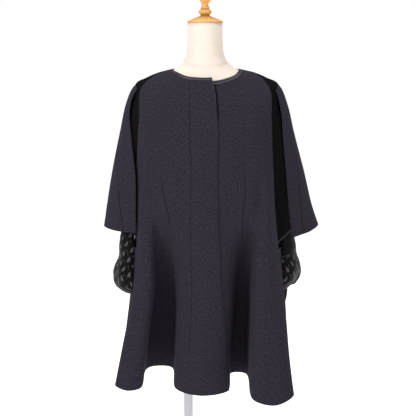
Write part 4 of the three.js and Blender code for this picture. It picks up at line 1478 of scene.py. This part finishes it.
@dataclass(frozen=True)
class Sleeve:
    """One side's cape sleeve, the black inset behind its opening, and its inner sleeve.

    side is 1 at the viewer's right and -1 at the left. inset_foot gives the inset's foot at the front and at
    the sleeve, inset_hem the painted highlight along its hem as a negative shade, clear how far the inner
    sleeve lies off the coat, and facing the rows where its print starts at its two folds, with a painted
    highlight along that facing seam.
    """

    wardrobe: Wardrobe
    label: str
    side: int
    sleeve: tuple[SleeveRow, ...]
    lining: tuple[LiningRow, ...]
    seam_shares: tuple[float, ...]
    ripples: tuple[Ripple, ...]
    inset_foot: tuple[float, float]
    inset_hem: float
    clear: float
    facing: tuple[float, float]

    def build(self) -> None:
        """Makes and dresses the three pieces."""
        self._cape()
        self._inset()
        self._inner()

    def _wall(
        self, name: str, outer: np.ndarray, inner: np.ndarray, closed: bool = False, **marks: np.ndarray
    ) -> bpy.types.Object:
        """A wall, turned round where the places run backwards."""
        if self.side < 0:
            outer, inner = outer[:, ::-1], inner[:, ::-1]
            marks = {label: values[:, ::-1] for label, values in marks.items()}
        return cloth_wall(name, outer, inner, closed=closed, marks=marks)

    def _cape(self) -> None:
        """The wool sleeve, from its free front edge round the arm to the back armhole seam."""
        rows = coat_rows(SHOULDER_ROW, SLEEVE_FOOT)
        near, middle = np.array(SLEEVE_EDGE_SHARES), SLEEVE_SEAM_SHARE
        seam = middle + np.array(SLEEVE_SEAM_COLUMNS)
        first = np.linspace(near[-1], seam[0], SLEEVE_FRONT_COLUMNS)[1:-1]
        second = np.linspace(seam[-1], 1.0 - near[-1], SLEEVE_BACK_COLUMNS)[1:-1]
        even = np.concatenate([near, first, seam, second, 1.0 - near[::-1]])
        sewn = smooth_read(SLEEVE_SEAM_ROWS, self.seam_shares, rows)[:, None]
        behind = 1 - (1 - even) * (1 - sewn) / (1 - middle)
        shares = np.where(even < middle, even * sewn / middle, behind)
        back_seam = np.full(len(rows), self.side * BACK_SEAM_PLACE)
        armhole = self.side * COAT.moved(back_seam, rows, -self.side * SEAM_GAP)
        edge = table_read(self.sleeve, "edge", rows)
        places = self.side * (edge[:, None] + (armhole - edge)[:, None] * shares)
        lift = self._lift(np.broadcast_to(rows[:, None], shares.shape), shares)
        grown = smoothstep(rows, SLEEVE_RIPPLE_ROW, SLEEVE_FOOT)[:, None]
        lift = lift + grown * sum(ripple.relief(shares) for ripple in self.ripples)
        seam_line = smoothstep(rows, *SLEEVE_SEAM_COME)[:, None] * bell(even - middle, SLEEVE_SEAM_WIDTH)
        lift = lift - SLEEVE_SEAM_DEPTH * seam_line
        edges = np.minimum(even, 1.0 - even)
        column_rim = np.clip(1.0 - edges / near[-1], 0.0, 1.0) ** 2
        rim = RIM * np.maximum(column_rim[None, :], foot_rim(rows)[:, None])
        out = COAT.outward(places, rows)
        face = COAT.grid(places, rows)
        drop = table_read(self.sleeve, "drop", rows)[:, None] * (1 - shares) ** 2
        face[..., 2] -= drop
        outer = face + out * (lift - rim)[..., None]
        inner = face + out * (lift + rim - WOOL)[..., None]
        # Painted shade in the seam's groove
        shade = SLEEVE_SEAM_SHADE * seam_line
        piece = self._wall(f"sleeve_{self.label}_cloth", outer, inner, shade=shade)
        cut = Cut(0.30, 0.44, Hold.DRAPED, ("back_cloth", f"inset_{self.label}_cloth"), area=0.075)
        self.wardrobe.dress(piece, Slot.WOOL, (f"sleeve_{self.label}",), cut)

    def _lift(self, rows: np.ndarray, shares: np.ndarray) -> np.ndarray:
        """How far the cape sleeve stands off the coat's face, at shares of the way round it."""
        bulge = table_read(self.sleeve, "bulge", rows) * (1.0 - np.abs(2 * shares - 1) ** SLEEVE_FOLD_POWER)
        return table_read(self.sleeve, "edge_lift", rows) * (1 - shares) + bulge

    def _inset(self) -> None:
        """The black cloth under the shoulder edges, then from the front's edge out to the sleeve's."""
        at_front, at_sleeve = self.inset_foot
        shares = np.linspace(0.0, 1.0, INSET_COLUMNS)[None, :]
        top = np.linspace(BINDING_ROW, SHOULDER_ROW, INSET_ROWS[0])[:-1, None].repeat(shares.size, axis=1)
        down = np.linspace(0.0, 1.0, INSET_ROWS[1])[:, None]
        below = SHOULDER_ROW + (at_front + (at_sleeve - at_front) * shares - SHOULDER_ROW) * down
        rows = np.concatenate([top, below])
        flat = rows.ravel()
        seam = front_side(self.side, flat)
        near = self.side * COAT.moved(self.side * seam, flat, -self.side * INSET_LAP)
        start = self.side * COAT.moved(self.side * seam, flat, self.side * INSET_RISE)
        edge = table_read(self.sleeve, "edge", flat)
        free = np.maximum(edge, seam + INSET_OVER_FRONT)
        far = np.where(flat < INSET_FAR[0][-1], np.maximum(np.interp(flat, *INSET_FAR), free), free)
        places = near + (far - near) * np.broadcast_to(shares, rows.shape).ravel()
        rise = np.clip((places - start) / (far - start), 0.0, 1.0)
        opened = smoothstep(flat, SHOULDER_ROW, SHOULDER_ROW + 2.0)
        reach = self._lift(flat, (far - edge) / (BACK_SEAM_PLACE - edge)) * opened
        sag = INSET_SAG * np.sin(math.pi * rise) * np.sin(4.0 * flat + 5.0 * rise) * opened
        lift = ((reach - INSET_CLEAR * opened) * rise - INSET_DEPTH + sag).reshape(rows.shape)
        places = self.side * places.reshape(rows.shape)
        out = COAT.outward(places, rows)
        outer = COAT.grid(places, rows) + out * lift[..., None]
        shade = np.zeros(rows.shape)
        # A painted highlight along the inset's hem
        shade[-1] = self.inset_hem
        piece = self._wall(f"inset_{self.label}_cloth", outer, outer - out * TRIM, shade=shade)
        cut = Cut(0.14, 0.60, Hold.HUNG, ("back_cloth",), area=0.029)
        self.wardrobe.dress(piece, Slot.BLACK, (f"inset_{self.label}",), cut)

    def _inner(self) -> None:
        """The printed inner sleeve, a flat tube that hangs out below the cape sleeve."""
        rows = np.linspace(self.lining[0].row, self.lining[-1].row, LINING_GRID[0])
        turns = np.linspace(0.0, 2.0, LINING_GRID[1])[:-1]
        shares = (1 - np.cos(math.pi * turns)) / 2
        arch = np.maximum(np.sin(math.pi * turns), 0.0) ** LINING_ARCH
        seat = LINING_SEAT + (self.clear - LINING_SEAT) * smoothstep(rows, *LINING_LEAVE)
        lift_at = table_read(self.lining, "lift", rows)
        down = rows[:, None]
        crush = LINING_CRUSH * np.sin(3 * math.pi * turns + 2.2 * down) + np.sin(9.0 * down - 4 * turns)
        crush = crush * np.sin(math.pi * np.clip(turns, 0, 1)) * smoothstep(down, *LINING_CRUSH_ROWS)
        walls = []
        for depth in (0.0, LINING):
            inward = self.side * depth
            front = COAT.moved(self.side * table_read(self.lining, "front", rows), rows, inward)
            back = COAT.moved(self.side * table_read(self.lining, "back", rows), rows, -inward)
            places = front[:, None] + (back - front)[:, None] * shares
            lift = seat[:, None] + depth + (lift_at - seat - 2 * depth)[:, None] * arch + crush
            lift = lift + np.maximum(relief(places, rows), 0.0)
            walls.append(COAT.grid(places, rows) + COAT.outward(places, rows) * lift[..., None])
        seam_row = self.facing[0] + (self.facing[1] - self.facing[0]) * np.clip(shares, 0.0, 1.0)
        below = (down - seam_row) * COAT_ROW
        piece = self._wall(
            f"sleeve_lining_{self.label}_cloth", *walls, closed=True,
            printed=smoothstep(below, -PRINT_EDGE, PRINT_EDGE),
            # A painted highlight along the facing seam
            shade=FACING_SHADE * bell(below, FACING_WIDTH),
        )
        cut = Cut(0.30, 0.25, Hold.HUNG, (f"inset_{self.label}_cloth",))
        self.wardrobe.dress(piece, Slot.LINING, (f"sleeve_lining_{self.label}",), cut)


@contextmanager
def edited(mesh: bpy.types.Mesh) -> Iterator[bmesh.types.BMesh]:
    """Opens a mesh for edits and writes them back."""
    work = bmesh.new()
    work.from_mesh(mesh)
    yield work
    work.to_mesh(mesh)
    work.free()


@dataclass(frozen=True)
class Stand:
    """The dress form in its jersey, the turned cap, the pole and the base.

    Sizes are metres and angles degrees. The neck's seam lies at seam_height round the neck's axis and dips
    in front, with painted shade of seam_shade over seam_width along it, and groove_reach is how far to
    either side a turned piece's hollows are measured for their painted shade. Points of a turned piece
    within same_level are one ring, a ring is at least least_radius wide, and bead_steps rings make one step
    of the cap.
    """

    wardrobe: Wardrobe
    sides: int = 96
    merge: float = 0.00002
    merge_turned: float = 0.000005
    flat_angle: float = 60.0
    sharp_angle: float = 55.0
    axis: float = 0.0505
    seam_height: float = 1.399
    seam_dip: float = 0.019
    seam_shade: float = 0.13
    seam_width: float = 0.0035
    seam_points: int = 181
    groove_reach: float = 0.0028
    groove_least: float = 0.35
    groove_most: float = 0.5
    same_level: float = 2e-6
    least_radius: float = 1e-5
    axis_radius: float = 0.001
    bead_steps: int = 8

    def build(self) -> None:
        """Makes and dresses the form and its stand."""
        self._form()
        self._turned("neck_cap", "neck_cap_wood", Slot.WOOD)
        self._turned("pole", "pole_tube", Slot.METAL)
        self._turned("base", "base_plate", Slot.METAL)

    def _form(self) -> None:
        """The form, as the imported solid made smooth."""
        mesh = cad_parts["form_torso"].data.copy()
        flat = math.radians(self.flat_angle)
        with edited(mesh) as work:
            bmesh.ops.remove_doubles(work, verts=work.verts, dist=self.merge)
            bmesh.ops.join_triangles(
                work, faces=work.faces, angle_face_threshold=flat, angle_shape_threshold=flat
            )
            sharp = work.edges.layers.float.new("crease_edge")
            for edge in work.edges:
                edge[sharp] = float(edge.calc_face_angle(0.0) > math.radians(self.sharp_angle))
        piece = linked("form_torso_jersey", mesh)
        smooth = piece.modifiers.new("smooth", "SUBSURF")
        smooth.levels = smooth.render_levels = 2
        bake_modifiers(piece)
        piece.data.shade_smooth()
        self.wardrobe.dress(piece, Slot.JERSEY, ("form_torso",))
        self._neck_seam(piece)

    def _neck_seam(self, form: bpy.types.Object) -> None:
        """The seam where the form's neck joins its shoulders, lower in front, with painted shade along it.
        """
        skin_points = np.array([v.co for v in form.data.vertices])
        skin = BVHTree.FromPolygons(skin_points.tolist(), [p.vertices[:] for p in form.data.polygons])
        points, ups = [], []
        for turn in np.linspace(0.0, 2 * math.pi, self.seam_points):
            way = Vector((math.sin(turn), -math.cos(turn), 0.0))
            hit, normal, _, _ = skin.ray_cast(Vector((self.axis, 0.0, float(self._seam_at(turn)))), way)
            points.append(hit)
            ups.append(normal if normal.dot(way) > 0 else -normal)
        turns = np.arctan2(skin_points[:, 0] - self.axis, -skin_points[:, 1])
        apart = skin_points[:, 2] - self._seam_at(turns)
        # Painted shade along the seam
        mark_points(form, "shade", self.seam_shade * bell(apart, self.seam_width))
        line = np.array(points) / MM
        sewn = FORM_SEAM.run("form_neck_seam", line, np.array(ups), self.wardrobe.materials[Slot.JERSEY])
        self.wardrobe.dress(sewn, Slot.JERSEY)

    def _seam_at(self, turns: np.ndarray) -> np.ndarray:
        """The height of the neck's seam at turns round the neck from its front."""
        return self.seam_height - self.seam_dip * np.maximum(np.cos(turns), 0.0) ** 1.5

    def _turned(self, node: str, name: str, slot: Slot) -> None:
        """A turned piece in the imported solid's place, with a rounder plan.

        Args:
            node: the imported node.
            name: the piece's name.
            slot: its finish.
        """
        low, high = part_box(node)
        middle = (low + high) / 2
        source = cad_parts[node].data
        points = np.array([v.co for v in source.vertices]) - np.array([middle.x, middle.y, 0.0])
        radius = np.hypot(points[:, 0], points[:, 1])
        profile = self._outline(radius, points[:, 2])
        if slot is Slot.WOOD:
            profile = self._rounded(profile)
        turns = np.arange(self.sides) * 2 * math.pi / self.sides
        plan = [np.outer(profile[:, 0], way(turns)) for way in (np.cos, np.sin)]
        rings = np.stack([*plan, np.repeat(profile[:, 1:], self.sides, axis=1)], axis=-1)
        rings += np.array([middle.x, middle.y, 0.0])
        index = np.arange(len(profile) * self.sides).reshape(-1, self.sides)
        onward = np.roll(index, -1, axis=1)
        faces = np.stack([index[:-1], onward[:-1], onward[1:], index[1:]], axis=-1).reshape(-1, 4)
        piece = mesh_piece(name, rings.reshape(-1, 3), faces)
        # Painted shade in the turned piece's grooves
        mark_points(piece, "shade", np.repeat(self._grooves(profile), self.sides))
        with edited(piece.data) as work:
            bmesh.ops.remove_doubles(work, verts=work.verts, dist=self.merge_turned)
            bmesh.ops.holes_fill(work, edges=work.edges, sides=0)
            bmesh.ops.recalc_face_normals(work, faces=work.faces)
        piece.data.shade_smooth()
        piece.data.set_sharp_from_angle(angle=math.radians(SHARP_TURNED))
        self.wardrobe.dress(piece, slot, (node,))

    def _outline(self, radius: np.ndarray, height: np.ndarray) -> np.ndarray:
        """The outer profile of a turned solid, from its points: radius and height going up."""
        levels = np.unique(np.round(height, 6))
        widest = [radius[np.abs(height - ring) < self.same_level].max() for ring in levels]
        return np.stack([np.maximum(widest, self.least_radius), levels], axis=1)

    def _rounded(self, profile: np.ndarray) -> np.ndarray:
        """The cap's profile with its beads and coves rounded, above the straight cone."""
        closed = profile[0, 0] < self.axis_radius
        straight = int(np.argmax(np.diff(profile[:, 0]))) if closed else 0
        cone = straight + 1 + int(np.argmin(np.diff(profile[straight + 1 :, 0])))
        turned = profile[cone + 1 :]
        along = np.arange(len(turned), dtype=float)
        fine = np.linspace(0.0, along[-1], self.bead_steps * (len(turned) - 1) + 1)
        bead = np.stack([smooth_read(along, turned[:, k], fine) for k in (0, 1)], axis=1)
        return np.concatenate([profile[: cone + 1], bead])

    def _grooves(self, profile: np.ndarray) -> np.ndarray:
        """How much painted shade darkens each ring of a turned piece, in its tight grooves."""
        radius, height = profile.T
        reach = self.groove_reach
        beside = [np.interp(height + side * reach, height, radius) for side in (-1, 1)]
        hollow = (beside[0] + beside[1]) / 2 - radius
        return np.clip(hollow / reach - self.groove_least, 0.0, self.groove_most)


def bake_modifiers(piece: bpy.types.Object) -> None:
    """Turns a piece's modifiers into its mesh."""
    bpy.context.view_layer.update()
    made = bpy.data.meshes.new_from_object(piece.evaluated_get(bpy.context.evaluated_depsgraph_get()))
    made.name = piece.name
    piece.modifiers.clear()
    piece.data = made


# Share of the surround's white that lights the coat
WORLD_LIGHT = 0.32


@dataclass(frozen=True)
class Softbox:
    """An area light: where it stands and points, its side in metres and its power in watts."""

    name: str
    place: tuple[float, float, float]
    target: tuple[float, float, float]
    side: float
    power: float

    def build(self) -> None:
        """Makes the light."""
        data = bpy.data.lights.new(self.name, "AREA")
        data.shape = "SQUARE"
        data.size = self.side
        data.energy = self.power
        light = linked(self.name, data)
        light.location = self.place
        way = Vector(self.target) - Vector(self.place)
        light.rotation_euler = way.to_track_quat("-Z", "Y").to_euler()


@dataclass(frozen=True)
class Studio:
    """The pale floor, the lights and the camera."""

    eye: tuple[float, float, float] = (0.058, -2.700, 1.480)
    pitch: float = 10.4617
    field: float = 24.36
    floor: float = 14.0
    floor_gap: float = 0.0005
    lights: tuple[Softbox, ...] = (
        Softbox("key", (-2.3, -2.2, 3.0), (0.05, 0.0, 0.95), 1.4, 84.0),
        Softbox("fill", (2.6, -2.2, 2.3), (0.05, 0.0, 0.95), 2.0, 34.0),
        Softbox("top", (0.1, 0.2, 3.8), (0.05, 0.0, 1.0), 2.4, 60.0),
    )

    def build(self) -> None:
        """Makes the studio."""
        bpy.context.scene.view_settings.view_transform = "Standard"
        self._world()
        self._floor()
        for light in self.lights:
            light.build()
        data = bpy.data.cameras.new("camera")
        data.angle = math.radians(self.field)
        camera = linked("camera", data)
        camera.location = self.eye
        camera.rotation_euler = (math.radians(90.0 - self.pitch), 0.0, 0.0)
        bpy.context.scene.camera = camera

    @staticmethod
    def _world() -> None:
        """A plain white surround."""
        world = bpy.data.worlds.new("studio")
        world.use_nodes = True
        graph = Graph(world.node_tree)
        seen = graph.node("ShaderNodeLightPath").outputs["Is Camera Ray"]
        strength = graph.math("MULTIPLY_ADD", seen, 1.0 - WORLD_LIGHT, WORLD_LIGHT)
        back = graph.node("ShaderNodeBackground", {"Color": srgb(255, 255, 255), "Strength": strength})
        graph.node("ShaderNodeOutputWorld", {"Surface": back.outputs[0]})
        bpy.context.scene.world = world

    def _floor(self) -> None:
        """A plain pale floor."""
        half = self.floor
        corners = ((-half, -half), (half, -half), (half, half), (-half, half))
        points = np.array([(*corner, -self.floor_gap) for corner in corners])
        floor = mesh_piece("floor", points, np.array([[0, 1, 2, 3]]))
        paint = bpy.data.materials.new("floor_paint")
        paint.use_nodes = True
        shader = paint.node_tree.nodes["Principled BSDF"]
        values = {
            "Base Color": srgb(250, 250, 250), "Roughness": 0.9,
            "Emission Color": srgb(255, 255, 255), "Emission Strength": 1.0 - WORLD_LIGHT,
        }
        for name, value in values.items():
            shader.inputs[name].default_value = value
        floor.data.materials.append(paint)


def main() -> None:
    """Builds the studio, the form and its stand, both sleeves and the coat's body, in that order."""
    logging.basicConfig(level=logging.INFO, format="%(name)s %(message)s")
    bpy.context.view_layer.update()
    Studio().build()
    wardrobe = Wardrobe()
    Stand(wardrobe).build()
    Sleeve(
        wardrobe, "left", 1, LEFT_SLEEVE, LEFT_LINING,
        seam_shares=(0.34, 0.28, 0.20, 0.145, 0.12),
        ripples=(Ripple(0.2, 0.07, 3.0), Ripple(0.7, 0.08, 3.5)),
        inset_foot=(7.93, 7.55), inset_hem=-0.2, clear=1.8, facing=(8.3, 7.4),
    ).build()
    Sleeve(
        wardrobe, "right", -1, RIGHT_SLEEVE, RIGHT_LINING,
        seam_shares=(0.46, 0.42, 0.29, 0.19, 0.15),
        ripples=(Ripple(0.22, 0.07, 2.5), Ripple(0.72, 0.08, 3.5)),
        inset_foot=(7.9, 7.35), inset_hem=0.0, clear=2.5, facing=(7.2, 7.2),
    ).build()
    Coat(wardrobe).build()


if __name__ == "__main__":
    main()
